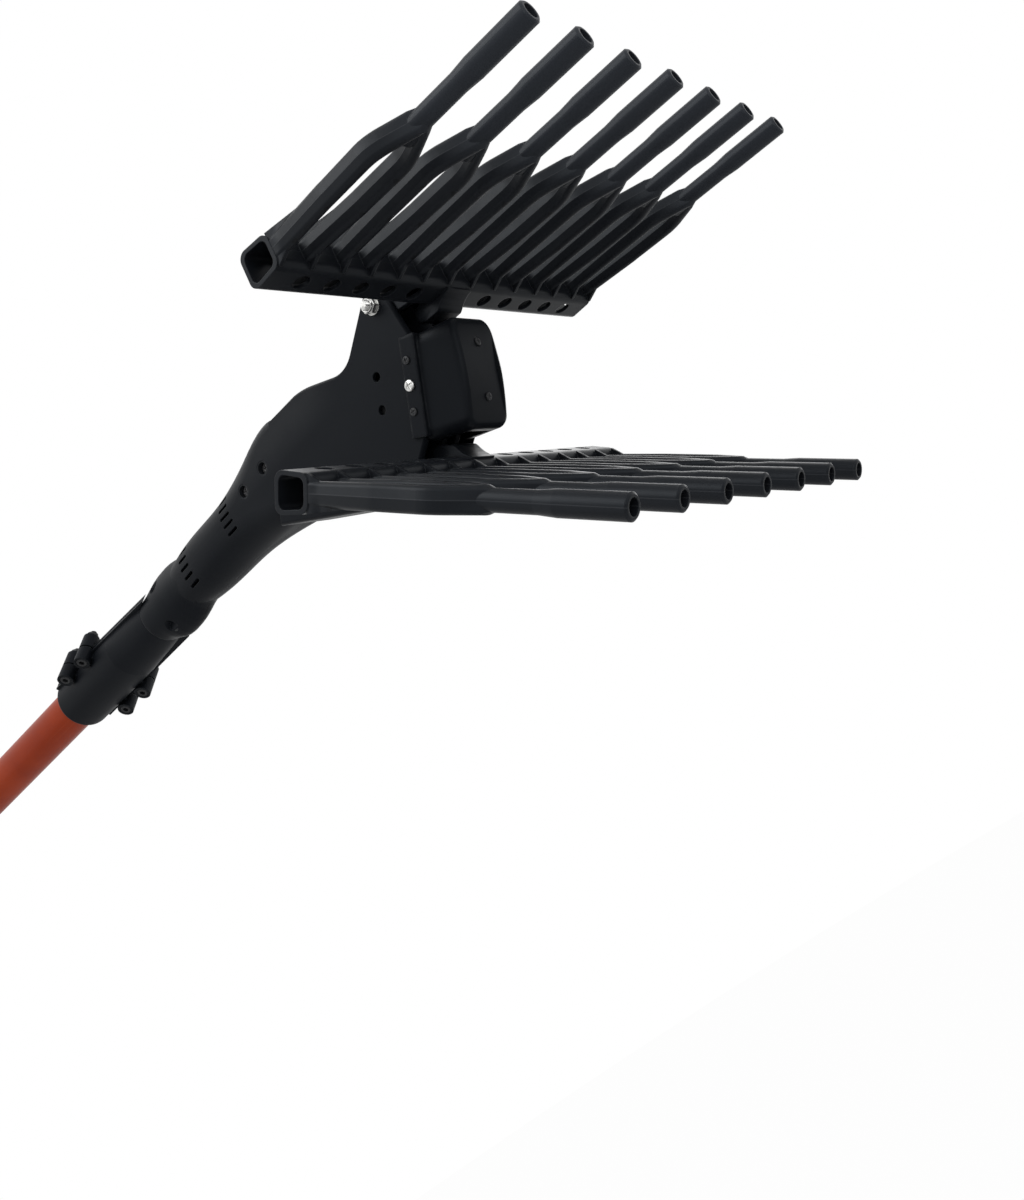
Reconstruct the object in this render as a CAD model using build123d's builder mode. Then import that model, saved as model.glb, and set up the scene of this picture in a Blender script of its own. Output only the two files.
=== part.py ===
import os
from math import acos, atan2, cos, hypot, radians, sin, tan

from build123d import *

os.makedirs("parts", exist_ok=True)

# Sizes are in millimetres. X runs along the pole towards the head, Z is up,
# Y runs along the comb bars. The origin is the butt end, on the pole's axis.

# Fits
running_gap = 0.3        # round pieces that slide or turn past each other
seat_gap = 0.05          # pushed-in pieces, on the radius

# Telescopic pole
tube_od = 35.0           # upper tube, the one the head is clamped to
tube_wall = 1.8
lower_wall = 2.2
lower_start = 22.0
lower_len = 640.0
tube_start = 120.0
clamp_x = 930.0          # back rim of the pole clamp
tube_in_clamp = 108.0
bush_flange = 12.0
bush_plug = 15.0
bush_wall = 3.0

# Butt cap and power inlet
cap_thick = 12.0
cap_od = 44.0
cap_plug = 18.0
gland_od = 20.0
gland_nose = 14.0
gland_shank = 12.0
gland_bore = 8.0
gland_len = 24.0

# Hand grip
grip_start = 46.0
grip_len = 250.0
grip_od = 48.0
grip_bead = 3.0          # how far the end beads stand out
grip_groove = 1.2
grip_grooves = 12

# Switch housing
switch_start = 330.0
switch_len = 122.0
switch_od = 51.0
switch_pod_width = 36.0
switch_pod_top = 45.0
switch_round = 6.0
pocket_len = 40.0
pocket_width = 22.0
pocket_floor = 29.0
rocker_z = 38.0
rocker_half = 17.0
rocker_width = 21.0
rocker_angle = 14.0      # degrees between off and on
rocker_tilt = 3.5        # how far the pressed end stands above the pin
rocker_rim = 4.0
rocker_pin_d = 3.0
rocker_pin_len = 28.0
contact_height = 3.0
switch_screw_inset = 15.0
switch_screw_z = 33.0

# Pole lock
lock_len = 58.0
lock_overlap = 28.0      # how much of the collar sits on the lower tube
lock_od = 51.0
ear_thick = 6.0
ear_inset = 6.0
ear_width = 9.0
lever_eye = 4.5          # radius of the lever's hinge eye
lever_thick = 4.5
lever_sweep = 115.0      # degrees of the collar that the lever hugs
lock_pin_d = 4.0

# Pole clamp
clamp_od = 46.0
clamp_straight = 85.0
clamp_len = 127.0
clamp_front_od = 39.0
clamp_turn = 42.0        # degrees that the split is turned about the pole
clamp_split = 1.2
spigot_od = 28.0
spigot_len = 48.0
clamp_bolt_x = (31.0, 59.0)
clamp_bolt_w = 27.3
clamp_bolt_d = 5.0
clamp_bolt_head_d = 8.5
clamp_bolt_head = 5.0
clamp_nut_flats = 8.0
clamp_nut = 4.0
clamp_boss_d = 13.0
clamp_boss_half = 13.0
clamp_web_half = 8.0
rib_half = 3.0
rib_reach = 25.0

# Head frame: where the head's axis starts, and how far it drops from the pole
head_from_clamp = 443.0
head_z = -18.0
head_drop = 27.0

# Housing
wall = 3.0
cheek_half = 26.0
ear_wall = 3.5
pivot_rise = 58.0        # pivots above and below the head's axis
pivot_boss = 12.0
cheek_front = 27.0
cheek_front_half = 34.0
cheek_back = 112.0
cheek_top = 5.0
throat_low = 21.5
throat_angle = 62.0
throat_round = 22.0
cheek_low = 74.0
cheek_edge = 4.0
collar_ear_x = 155.0
collar_ear_z = 20.5
collar_ear_top = 28.0
collar_ear_end = 190.0
collar_ear_half = 12.0
screw_d = 4.0
screw_head_d = 8.0
screw_head = 3.0
screw_floor = 13.0       # counterbore floor, from the split
post_d = 13.0
post_spots = ((295.6, 10.0), (321.7, 11.6))
cheek_hole_d = 6.4
cheek_holes = ((-5.5, 13.0), (-4.6, -8.6))
vent_len = 12.0
vent_wide = 2.2
vent_step = 6.3
vent_count = 5
vent_groups = ((268.0, 7.5), (205.0, 4.0))
# Neck sections: distance from the clamp rim, centre height, half height,
# half width, corner radius
neck = (
    (127.0, 1.0, 19.5, 19.5, 18.5),
    (185.0, 2.0, 18.8, 19.8, 18.0),
    (222.0, 2.6, 22.5, 23.2, 21.5),
    (265.0, 3.0, 25.5, 25.2, 23.0),
    (314.0, 4.0, 33.3, 25.6, 16.0),
    (345.0, 3.5, 33.2, 25.6, 8.0),
)

# Motor and fan
motor_d = 36.0
motor_z = 2.8
motor_back = 215.0
motor_front = 283.0
motor_cap = 8.0
motor_rib = 4.0
motor_rib_x = (226.0, 277.0)
shaft_d = 5.0
fan_d = 29.0
fan_hub = 11.0
fan_len = 8.0
fan_blades = 7
fan_blade = 1.6
fan_gap = 1.5

# Drive: the crank turns about Y and lifts the yoke, which swings both combs
swing_half = 5.9         # degrees each way from mid-stroke
crank_reach = 34.0       # from the pivots forward to the crank's axis
pin_drop = 38.0          # from each pivot in to its lever pin, at mid-stroke
crank_d = 19.0
crank_thick = 5.4
journal_d = 12.0
crank_pin_d = 8.0
roller_d = 10.0
yoke_thick = 8.0
yoke_half = 16.0
yoke_eye_edge = 3.5
yoke_side_gap = 0.6
stroke_room = 0.95       # half the play of the crank roller in its slot
eye_room = 0.25
eye_travel = 4.6
lever_pin_d = 6.0
fork_thick = 4.0
fork_gap = 0.4
bearing_d = 19.0
case_plate = 4.5
case_shoulder = 8.0
case_nose_thick = 5.5
case_side = 10.0
case_turn = 345.0
case_top = 2.5
case_low = -14.0
case_nose = 54.0
case_nose_half = 15.0
rail_thick = 3.5
rail_half = 13.0

# Combs
pitch = 47.0
tines = 7
comb_open = 15.6         # tine angle from the head's axis at mid-stroke
bar_from_pivot = 38.6
bar_inward = 6.6
bar_len = 308.6
bar_depth = 24.0
bar_back = 24.4
bar_front = 21.4
bar_round = 5.5
bar_wall = 2.6
bar_hole = 11.0
bar_hole_count = 5
bar_hole_first = 35.25
tine_len = 185.0
# a tine's legs: half their spread at the bar, where they bow out and where they bend in
leg_root_half = 10.4
leg_bow = (45.0, 13.0)
leg_bend = (82.0, 11.2)
leg_bend_round = 40.0
shoulder_at = 90.0       # where the legs start to run together
shoulder_r = 12.4
crotch_at = 94.0         # where the finger starts between the legs
flare_len = 110.0
hump_at = 146.0
leg_thick = 5.2
leg_deep = 12.8
leg_round = 2.3
gusset_thick = 2.4
gusset_half = 11.4       # half the spread of a tine's gussets
gusset_len = 40.0
gusset_nose = 12.0
slim_d = 10.6
tip_d = 12.0
tip_bore = 7.6
tip_bore_len = 40.0
tip_edge = 1.0
hub_half = 22.2
hub_plate = 6.0
hub_web = 9.0
gusset = 9.0
barrel_d = 20.0
bush_d = 10.0
lever_eye_r = 6.0

# Crank cover
cover_front = 61.0
cover_front_half = 20.0
cover_front_rise = 31.0
cover_round = 8.0
cover_edge = 4.0
cover_wall = 2.5
flange_back = 19.0
flange_front = 31.0
flange_thick = 2.4
flange_low = -31.0
flange_high = 33.0
flange_screw_x = 23.3
flange_screw_z = (18.0, 2.0, -14.6)
flange_screw_d = 3.2
flange_screw_head_d = 6.6
flange_screw_head = 2.2
flange_screw_len = 8.0
front_screw_z = (20.0, -12.0)
front_boss_d = 8.0
front_boss_len = 2.0
notch_half = 12.0
notch_front = 52.0

# Pivot bolts
bolt_d = 6.0
bolt_hole = 6.3
bolt_head = 4.2
bolt_end = 2.5
nut_flats = 10.0
nut_thick = 5.5
washer_d = 12.0
washer_thick = 1.2

# Worked out from the sizes above
tube_r = tube_od / 2
tube_bore = tube_r - tube_wall
lower_bore = tube_r + running_gap
lower_r = lower_bore + lower_wall
lower_end = lower_start + lower_len
cap_start = lower_start - cap_thick
head_x = clamp_x + head_from_clamp
drop = radians(head_drop)
turn = radians(clamp_turn)
swing = radians(swing_half)
lean_open = radians(comb_open)
crank_throw = crank_reach * sin(swing)
yoke_eye = pivot_rise - pin_drop * (1 + cos(swing)) / 2
lever_at = (
    crank_reach * cos(lean_open) - pin_drop * sin(lean_open),
    crank_reach * sin(lean_open) + pin_drop * cos(lean_open),
)


# Plane square to the pole: local x is Y, local y is Z
def across(x):
    return Plane(origin=(x, 0, 0), x_dir=(0, 1, 0), z_dir=(1, 0, 0))


# Plane beside the pole, measured from the clamp rim: local y is Z
def side(y=0.0):
    return Plane(origin=(clamp_x, y, 0), x_dir=(1, 0, 0), z_dir=(0, -1, 0))


# Plane beside the head: local x along the head's axis, local y up from it
def head(y=0.0):
    return Plane(origin=(head_x, y, head_z), x_dir=(cos(drop), 0, -sin(drop)), z_dir=(0, -1, 0))


# The same spot as seen from the clamp rim
def beside_pole(x, z):
    return (head_from_clamp + x * cos(drop) + z * sin(drop), head_z - x * sin(drop) + z * cos(drop))


# Plane square to the head's axis: local x is Y, local y up
def head_cross(x):
    at = (head_x + x * cos(drop), 0, head_z - x * sin(drop))
    return Plane(origin=at, x_dir=(0, 1, 0), z_dir=(cos(drop), 0, -sin(drop)))


# Plane parallel to the clamp's split: local x along the pole
def clamp_face(height):
    at = (clamp_x, height * sin(turn), height * cos(turn))
    return Plane(origin=at, x_dir=(1, 0, 0), z_dir=(0, sin(turn), cos(turn)))


# Round piece along the pole from start to end
def tube(start, end, outer, bore=0.0, mode=Mode.ADD):
    with BuildSketch(across(start)) as ring:
        Circle(outer)
        if bore:
            Circle(bore, mode=Mode.SUBTRACT)
    extrude(ring.sketch, amount=end - start, mode=mode)


# Round pieces along Y from low to high, at spots of a side or head plane
def rod(plane, spots, radius, low, high, mode=Mode.ADD):
    with BuildSketch(plane(high)) as discs:
        with Locations(*spots):
            Circle(radius)
    extrude(discs.sketch, amount=high - low, mode=mode)


# Plate along Y from low to high with a polygon outline
def slab(plane, points, low, high, mode=Mode.ADD):
    with BuildSketch(plane(high)) as plate:
        with BuildLine():
            Polyline(*points, close=True)
        make_face()
    extrude(plate.sketch, amount=high - low, mode=mode)


# Block along Y from low to high, between two corners of a side or head plane
def block(plane, x_from, x_to, z_from, z_to, low, high, mode=Mode.ADD):
    corners = [(x_from, z_from), (x_to, z_from), (x_to, z_to), (x_from, z_to)]
    slab(plane, corners, low, high, mode)


# Hexagons along Y from low to high
def hexagon(plane, spots, low, high):
    with BuildSketch(plane(high)) as hexes:
        with Locations(*spots):
            RegularPolygon(radius=nut_flats / 2, side_count=6, major_radius=False)
    extrude(hexes.sketch, amount=high - low)


# Label a finished piece and write its file
def keep(name, builder):
    builder.part.label = name
    export_step(builder.part, f"parts/{name}.step")


# Pole
with BuildPart() as lower_tube:
    tube(lower_start, lower_end, lower_r, lower_bore)
keep("lower_tube", lower_tube)

with BuildPart() as upper_tube:
    tube(tube_start, clamp_x + tube_in_clamp, tube_r, tube_bore)
keep("upper_tube", upper_tube)

with BuildPart() as slide_bush:
    tube(tube_start - bush_flange, tube_start, lower_bore - seat_gap)
    tube(tube_start, tube_start + bush_plug, tube_bore - seat_gap)
    tube(tube_start - bush_flange, tube_start + bush_plug, tube_bore - bush_wall, mode=Mode.SUBTRACT)
keep("slide_bush", slide_bush)

# Butt cap and power inlet
with BuildPart() as butt_cap:
    tube(cap_start, lower_start, cap_od / 2)
    fillet(butt_cap.edges().group_by(Axis.X)[0], radius=cap_thick / 3)
    tube(lower_start, lower_start + cap_plug, lower_bore - seat_gap)
    tube(cap_start, lower_start + cap_plug, gland_shank / 2 + seat_gap, mode=Mode.SUBTRACT)
keep("butt_cap", butt_cap)

with BuildPart() as inlet_gland:
    with BuildSketch(Plane.XZ):
        with BuildLine():
            Polyline(
                (0, gland_bore / 2), (0, gland_nose / 2), (cap_start * 0.6, gland_od / 2),
                (cap_start, gland_od / 2), (cap_start, gland_shank / 2),
                (cap_start + gland_len, gland_shank / 2), (cap_start + gland_len, gland_bore / 2),
                close=True,
            )
        make_face()
    revolve(axis=Axis.X)
keep("inlet_gland", inlet_gland)

# Hand grip with a bead at both ends and ring grooves between them
with BuildPart() as grip_sleeve:
    tube(grip_start, grip_start + grip_len, grip_od / 2, lower_r + seat_gap)
    groove_step = grip_len / (grip_grooves + 3)
    for bead_start in (grip_start, grip_start + grip_len - groove_step):
        tube(bead_start, bead_start + groove_step, grip_od / 2 + grip_bead, lower_r + seat_gap)
    fillet(grip_sleeve.edges().group_by(Axis.X)[0].sort_by(SortBy.RADIUS)[-1], radius=grip_bead)
    fillet(grip_sleeve.edges().group_by(Axis.X)[-1].sort_by(SortBy.RADIUS)[-1], radius=grip_bead)
    for index in range(grip_grooves):
        groove = grip_start + (index + 2) * groove_step
        tube(groove - grip_groove, groove + grip_groove, grip_od, grip_od / 2 - grip_groove, Mode.SUBTRACT)
keep("grip_sleeve", grip_sleeve)

# Switch housing round the lower tube, split on the middle plane
switch_end = switch_start + switch_len
switch_mid = switch_start + switch_len / 2
switch_spots = [
    (switch_start + switch_screw_inset - clamp_x, switch_screw_z),
    (switch_end - switch_screw_inset - clamp_x, switch_screw_z),
]
rocker_x = switch_mid - clamp_x
rocker_spots = [(rocker_x, rocker_z)]
pod_half = switch_pod_width / 2

with BuildPart() as switch_shell:
    with BuildSketch(across(switch_start)):
        Circle(switch_od / 2)
        with Locations((0, switch_pod_top / 2)):
            Rectangle(switch_pod_width, switch_pod_top)
    extrude(amount=switch_len)
    fillet(switch_shell.edges().filter_by(Axis.X).group_by(Axis.Z)[-1], radius=switch_round)
    chamfer(switch_shell.faces().sort_by(Axis.X)[0].edges(), length=switch_round / 3)
    chamfer(switch_shell.faces().sort_by(Axis.X)[-1].edges(), length=switch_round / 3)
    tube(switch_start, switch_end, lower_r + seat_gap, mode=Mode.SUBTRACT)
    with BuildSketch(Plane.XY.offset(pocket_floor)):
        with Locations((switch_mid, 0)):
            Rectangle(pocket_len, pocket_width)
    extrude(amount=switch_pod_top, mode=Mode.SUBTRACT)
    pin_half = rocker_pin_len / 2
    rod(side, rocker_spots, rocker_pin_d / 2 + seat_gap, -pin_half, pin_half, Mode.SUBTRACT)
    rod(side, switch_spots, screw_d / 2 + seat_gap, -pod_half, pod_half - wall, Mode.SUBTRACT)
    rod(side, switch_spots, screw_head_d / 2 + running_gap, -pod_half, screw_head - pod_half, Mode.SUBTRACT)

with BuildPart() as switch_housing_right:
    add(switch_shell.part)
    split(bisect_by=Plane.XZ, keep=Keep.TOP)
keep("switch_housing_right", switch_housing_right)

with BuildPart() as switch_housing_left:
    add(switch_shell.part)
    split(bisect_by=Plane.XZ, keep=Keep.BOTTOM)
keep("switch_housing_left", switch_housing_left)

with BuildPart() as switch_screws:
    rod(side, switch_spots, screw_head_d / 2, -pod_half, screw_head - pod_half)
    rod(side, switch_spots, screw_d / 2, screw_head - pod_half, pod_half - wall)
keep("switch_screws", switch_screws)

with BuildPart() as switch_contacts:
    with BuildSketch(Plane.XY.offset(pocket_floor)):
        with Locations((switch_mid, 0)):
            RectangleRounded(pocket_len - wall, pocket_width - wall, wall / 2)
    extrude(amount=contact_height)
keep("switch_contacts", switch_contacts)

# Rocker, shown off: its front end stands up
with BuildPart() as rocker:
    back, front = rocker_x - rocker_half, rocker_x + rocker_half
    low_end = rocker_z + rocker_tilt
    high_end = low_end + 2 * rocker_half * sin(radians(rocker_angle)) * 0.75
    slab(
        side,
        [
            (back, low_end - rocker_rim), (back, low_end), (rocker_x, (low_end + high_end) / 2 - 1),
            (front, high_end), (front, high_end - rocker_rim), (rocker_x, rocker_z - rocker_rim),
        ],
        -rocker_width / 2, rocker_width / 2,
    )
    rod(side, rocker_spots, rocker_pin_d / 2 + seat_gap, -rocker_width, rocker_width, Mode.SUBTRACT)
keep("rocker", rocker)

with BuildPart() as rocker_pin:
    rod(side, rocker_spots, rocker_pin_d / 2, -pin_half, pin_half)
keep("rocker_pin", rocker_pin)

# Pole lock: a collar on the lower tube's mouth, with a lever that hugs it
lock_start = lower_end - lock_overlap
lock_end = lock_start + lock_len
lever_in = lock_od / 2 + running_gap
lever_out = lever_in + lever_thick
lever_pin_z = lever_in + lever_eye
lever_start = lock_start + ear_inset + ear_thick + running_gap
lever_end = lock_end - ear_inset - ear_thick - running_gap

with BuildPart() as lock_collar:
    tube(lock_start, lock_end, lock_od / 2)
    fillet(lock_collar.edges().filter_by(GeomType.CIRCLE), radius=wall / 2)
    for ear_start in (lock_start + ear_inset, lever_end + running_gap):
        with BuildSketch(across(ear_start)):
            with Locations((0, lever_pin_z)):
                Circle(ear_width / 2)
            with Locations((0, lever_pin_z / 2)):
                Rectangle(ear_width, lever_pin_z)
        extrude(amount=ear_thick)
    tube(lock_start, lower_end, lower_r + seat_gap, mode=Mode.SUBTRACT)
    tube(lower_end, lock_end, lower_bore, mode=Mode.SUBTRACT)
    with BuildSketch(across(lock_start)):
        with Locations((0, lever_pin_z)):
            Circle(lock_pin_d / 2 + seat_gap)
    extrude(amount=lock_len, mode=Mode.SUBTRACT)
keep("lock_collar", lock_collar)

with BuildPart() as lock_pin:
    with BuildSketch(across(lock_start + ear_inset)):
        with Locations((0, lever_pin_z)):
            Circle(lock_pin_d / 2)
    extrude(amount=lock_len - 2 * ear_inset)
keep("lock_pin", lock_pin)


# Point at an angle round the lock collar, seen along the pole
def around(radius, angle):
    return (radius * cos(radians(angle)), radius * sin(radians(angle)))


with BuildPart() as lock_lever:
    middle = 90 + lever_sweep / 2
    last = 90 + lever_sweep
    with BuildSketch(across(lever_start)):
        with BuildLine():
            inner = ThreePointArc(around(lever_in, 90), around(lever_in, middle), around(lever_in, last))
            tail = Line(inner @ 1, around(lever_out + lever_thick / 2, last))
            outer = ThreePointArc(tail @ 1, around(lever_out, middle), around(lever_out, 90))
            Line(outer @ 1, inner @ 0)
        make_face()
        with Locations((0, lever_pin_z)):
            Circle(lever_eye)
            Circle(lock_pin_d / 2 + seat_gap, mode=Mode.SUBTRACT)
    extrude(amount=lever_end - lever_start)
keep("lock_lever", lock_lever)

# Pole clamp: two half shells round the tube, with a spigot for the housing's collar
clamp_spots = [(x, w) for x in clamp_bolt_x for w in (-clamp_bolt_w, clamp_bolt_w)]

with BuildPart() as clamp_shell:
    with BuildSketch(side()):
        with BuildLine():
            Polyline(
                (0, 0), (0, clamp_od / 2), (clamp_straight, clamp_od / 2), (clamp_len, clamp_front_od / 2),
                (clamp_len, spigot_od / 2), (clamp_len + spigot_len, spigot_od / 2),
                (clamp_len + spigot_len, 0),
                close=True,
            )
        make_face()
    revolve(axis=Axis.X)
    fillet(clamp_shell.edges().group_by(Axis.X)[0], radius=wall)
    with BuildSketch(clamp_face(-clamp_boss_half)):
        with Locations(*clamp_spots):
            Circle(clamp_boss_d / 2)
    extrude(amount=2 * clamp_boss_half)
    with BuildSketch(clamp_face(-clamp_web_half)):
        with Locations(*[(x, 0) for x in clamp_bolt_x]):
            Rectangle(clamp_boss_d * 0.8, 2 * clamp_bolt_w)
    extrude(amount=2 * clamp_web_half)
    with BuildSketch(clamp_face(-rib_half)):
        with Locations((clamp_len / 2, 0)):
            Rectangle(clamp_len - 2 * wall, 2 * rib_reach)
    extrude(amount=2 * rib_half)
    tube(clamp_x, clamp_x + tube_in_clamp, tube_r + seat_gap, mode=Mode.SUBTRACT)
    with BuildSketch(clamp_face(-clamp_boss_half)):
        with Locations(*clamp_spots):
            Circle(clamp_bolt_d / 2 + seat_gap)
    extrude(amount=2 * clamp_boss_half, mode=Mode.SUBTRACT)
    with BuildSketch(clamp_face(-clamp_boss_half)):
        with Locations(*clamp_spots):
            Circle(clamp_bolt_head_d / 2 + running_gap)
    extrude(amount=clamp_bolt_head, mode=Mode.SUBTRACT)
    with BuildSketch(clamp_face(-clamp_split / 2)):
        Rectangle(4 * clamp_len, 4 * clamp_od)
    extrude(amount=clamp_split, mode=Mode.SUBTRACT)

with BuildPart() as clamp_half_outer:
    add(clamp_shell.part)
    split(bisect_by=clamp_face(0), keep=Keep.TOP)
keep("clamp_half_outer", clamp_half_outer)

with BuildPart() as clamp_half_inner:
    add(clamp_shell.part)
    split(bisect_by=clamp_face(0), keep=Keep.BOTTOM)
keep("clamp_half_inner", clamp_half_inner)

with BuildPart() as clamp_bolts:
    with BuildSketch(clamp_face(-clamp_boss_half)):
        with Locations(*clamp_spots):
            Circle(clamp_bolt_head_d / 2)
    extrude(amount=clamp_bolt_head)
    with BuildSketch(clamp_face(clamp_bolt_head - clamp_boss_half)):
        with Locations(*clamp_spots):
            Circle(clamp_bolt_d / 2)
    extrude(amount=2 * clamp_boss_half - clamp_bolt_head + clamp_nut + bolt_end)
keep("clamp_bolts", clamp_bolts)

with BuildPart() as clamp_nuts:
    with BuildSketch(clamp_face(clamp_boss_half)):
        with Locations(*clamp_spots):
            RegularPolygon(radius=clamp_nut_flats / 2, side_count=6, major_radius=False)
            Circle(clamp_bolt_d / 2 + seat_gap, mode=Mode.SUBTRACT)
    extrude(amount=clamp_nut)
keep("clamp_nuts", clamp_nuts)


# Rounded cross-sections of the neck, drawn in by inset
def neck_sections(first, inset):
    sections = []
    for x, z, half_height, half_width, corner in neck[first:]:
        with BuildSketch(across(clamp_x + x)) as section:
            with Locations((0, z)):
                RectangleRounded(2 * (half_width - inset), 2 * (half_height - inset), corner - inset)
        sections.append(section.sketch)
    return sections


# Side view of the cheeks: the throat, both pivot bosses and the front edge
def cheek_sketch(y, inset=0.0):
    low = pivot_rise + pivot_boss
    throat_turn = radians(throat_angle)
    rise = pivot_rise - cheek_front_half
    front_turn = acos(pivot_boss / hypot(cheek_front, rise)) - atan2(rise, cheek_front)
    top_back = (-pivot_boss * sin(throat_turn), pivot_rise + pivot_boss * cos(throat_turn))
    front_x, front_z = pivot_boss * cos(front_turn), pivot_rise + pivot_boss * sin(front_turn)
    corner = (top_back[0] - (top_back[1] - throat_low) / tan(throat_turn), throat_low)
    hump = (-cheek_back * 2 / 3, throat_low - wall)
    bend = pivot_boss * sin(radians(45))
    with BuildSketch(head(y)) as outline:
        with BuildLine():
            Polyline((0, -low), (-cheek_back, -low), (-cheek_back, cheek_top), hump, corner, top_back)
            ThreePointArc(top_back, (0, low), (front_x, front_z))
            Polyline(
                (front_x, front_z), (cheek_front, cheek_front_half), (cheek_front, -cheek_front_half),
                (front_x, -front_z),
            )
            ThreePointArc((front_x, -front_z), (bend, -pivot_rise - bend), (0, -low))
        make_face()
        fillet(outline.vertices().sort_by_distance(corner)[0], radius=throat_round)
        fillet(outline.vertices().sort_by_distance(hump)[0], radius=3 * throat_round)
        if inset:
            offset(amount=-inset)
    return outline.sketch


ear_inner = cheek_half - ear_wall
pivots = [(0, pivot_rise), (0, -pivot_rise)]
flange_spots = [(flange_screw_x, z) for z in flange_screw_z]
collar_spots = [(collar_ear_x, collar_ear_z), (collar_ear_x, -collar_ear_z)]

# Neck housing from outside: a lofted neck that runs into two flat cheeks
with BuildPart() as housing_outer:
    extrude(cheek_sketch(cheek_half), amount=2 * cheek_half)
    sides = housing_outer.faces().filter_by(Axis.Y)
    front_line = head_cross(cheek_front).to_local_coords
    fillet(sides.edges().filter_by(lambda edge: front_line(edge.center()).Z < -1), radius=cheek_edge)
    loft(neck_sections(0, 0))
    with BuildSketch(side(collar_ear_half)) as lobes:
        with BuildLine():
            Polyline(
                (clamp_len, 0), (clamp_len, collar_ear_top - 2 * wall),
                (collar_ear_x - 5 * wall, collar_ear_top), (collar_ear_x + 4 * wall, collar_ear_top),
                (collar_ear_end, collar_ear_top / 2), (collar_ear_end, 0),
                close=True,
            )
        make_face()
        mirror(about=Plane.XZ)
        fillet(lobes.vertices().filter_by(lambda v: abs(v.Y) > collar_ear_z), radius=2 * wall)
    extrude(amount=2 * collar_ear_half)

# The space inside it: neck, cheeks, collar bore, and the open front, top and bottom
with BuildPart() as housing_space:
    loft(neck_sections(1, wall))
    extrude(cheek_sketch(ear_inner, wall), amount=2 * ear_inner)
    tube(clamp_x + clamp_len, clamp_x + neck[1][0] + wall, spigot_od / 2 + seat_gap)
    reach = cheek_front + cheek_edge
    open_z = cheek_front_half - wall
    block(head, cheek_front - cheek_edge, reach, -open_z, open_z, -ear_inner, ear_inner)
    for low, high in ((open_z - cheek_edge, cheek_low), (-cheek_low, cheek_edge - open_z)):
        block(head, -pivot_boss - wall, reach, low - wall, high + wall, -ear_inner, ear_inner)

# Ribs that hold the motor, and posts for the housing screws
with BuildPart() as housing_ribs:
    for x in motor_rib_x:
        tube(clamp_x + x, clamp_x + x + motor_rib, 2 * cheek_half)
    rod(side, post_spots, post_d / 2, -cheek_half, cheek_half)
    add(housing_outer.part, mode=Mode.INTERSECT)
    with BuildSketch(across(clamp_x + motor_back)):
        with Locations((0, motor_z)):
            Circle(motor_d / 2 + seat_gap)
    extrude(amount=motor_front - motor_back, mode=Mode.SUBTRACT)

with BuildPart() as housing_shell:
    add(housing_outer.part)
    add(housing_space.part, mode=Mode.SUBTRACT)
    add(housing_ribs.part)
    # screws of the neck and the collar, with their counterbores on the right
    rod(side, post_spots, screw_d / 2 + seat_gap, -cheek_half, screw_floor, Mode.SUBTRACT)
    rod(side, post_spots, screw_head_d / 2 + running_gap, -cheek_half - wall, -screw_floor, Mode.SUBTRACT)
    rod(side, collar_spots, screw_d / 2 + seat_gap, -collar_ear_half, collar_ear_half - wall, Mode.SUBTRACT)
    head_floor = screw_head - collar_ear_half
    rod(side, collar_spots, screw_head_d / 2 + running_gap, -collar_ear_half, head_floor, Mode.SUBTRACT)
    # pivots, service holes and the cover's screws
    rod(head, pivots, bolt_hole / 2, -cheek_half, cheek_half, Mode.SUBTRACT)
    rod(head, cheek_holes, cheek_hole_d / 2, -cheek_half, cheek_half, Mode.SUBTRACT)
    rod(head, flange_spots, flange_screw_d / 2 + seat_gap, -cheek_half, cheek_half, Mode.SUBTRACT)
    # vent slots along the neck, on both sides
    with BuildSketch(side(cheek_half)):
        for group in vent_groups:
            with Locations(group):
                with GridLocations(vent_len, vent_step, 1, vent_count):
                    SlotOverall(vent_len, vent_wide)
    extrude(amount=2 * cheek_half, mode=Mode.SUBTRACT)

with BuildPart() as housing_right:
    add(housing_shell.part)
    block(side, 0, 2 * head_from_clamp, -head_from_clamp, head_from_clamp, 0, 2 * cheek_half, Mode.SUBTRACT)
keep("housing_right", housing_right)

with BuildPart() as housing_left:
    add(housing_shell.part)
    block(side, 0, 2 * head_from_clamp, -head_from_clamp, head_from_clamp, -2 * cheek_half, 0, Mode.SUBTRACT)
keep("housing_left", housing_left)

with BuildPart() as housing_screws:
    rod(side, post_spots, screw_head_d / 2, -screw_floor - screw_head, -screw_floor)
    rod(side, post_spots, screw_d / 2, -screw_floor, screw_floor)
keep("housing_screws", housing_screws)

with BuildPart() as collar_screws:
    rod(side, collar_spots, screw_head_d / 2, -collar_ear_half, head_floor)
    rod(side, collar_spots, screw_d / 2, head_floor, collar_ear_half - wall)
keep("collar_screws", collar_screws)


# Round piece on the motor's axis, measured from the clamp rim
def motor_tube(start, end, outer, mode=Mode.ADD):
    with BuildSketch(across(clamp_x + start)) as ring:
        with Locations((0, motor_z)):
            Circle(outer)
    extrude(ring.sketch, amount=end - start, mode=mode)


shaft_back = motor_back - fan_len - 2 * fan_gap
with BuildPart() as motor:
    motor_tube(motor_back + motor_cap, motor_front, motor_d / 2)
    motor_tube(motor_back, motor_back + motor_cap, motor_d / 2 - wall / 2)
    motor_tube(motor_back, motor_front, shaft_d / 2 + seat_gap, Mode.SUBTRACT)
keep("motor", motor)

with BuildPart() as motor_shaft:
    motor_tube(shaft_back, motor_front + case_plate, shaft_d / 2)
keep("motor_shaft", motor_shaft)

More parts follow.
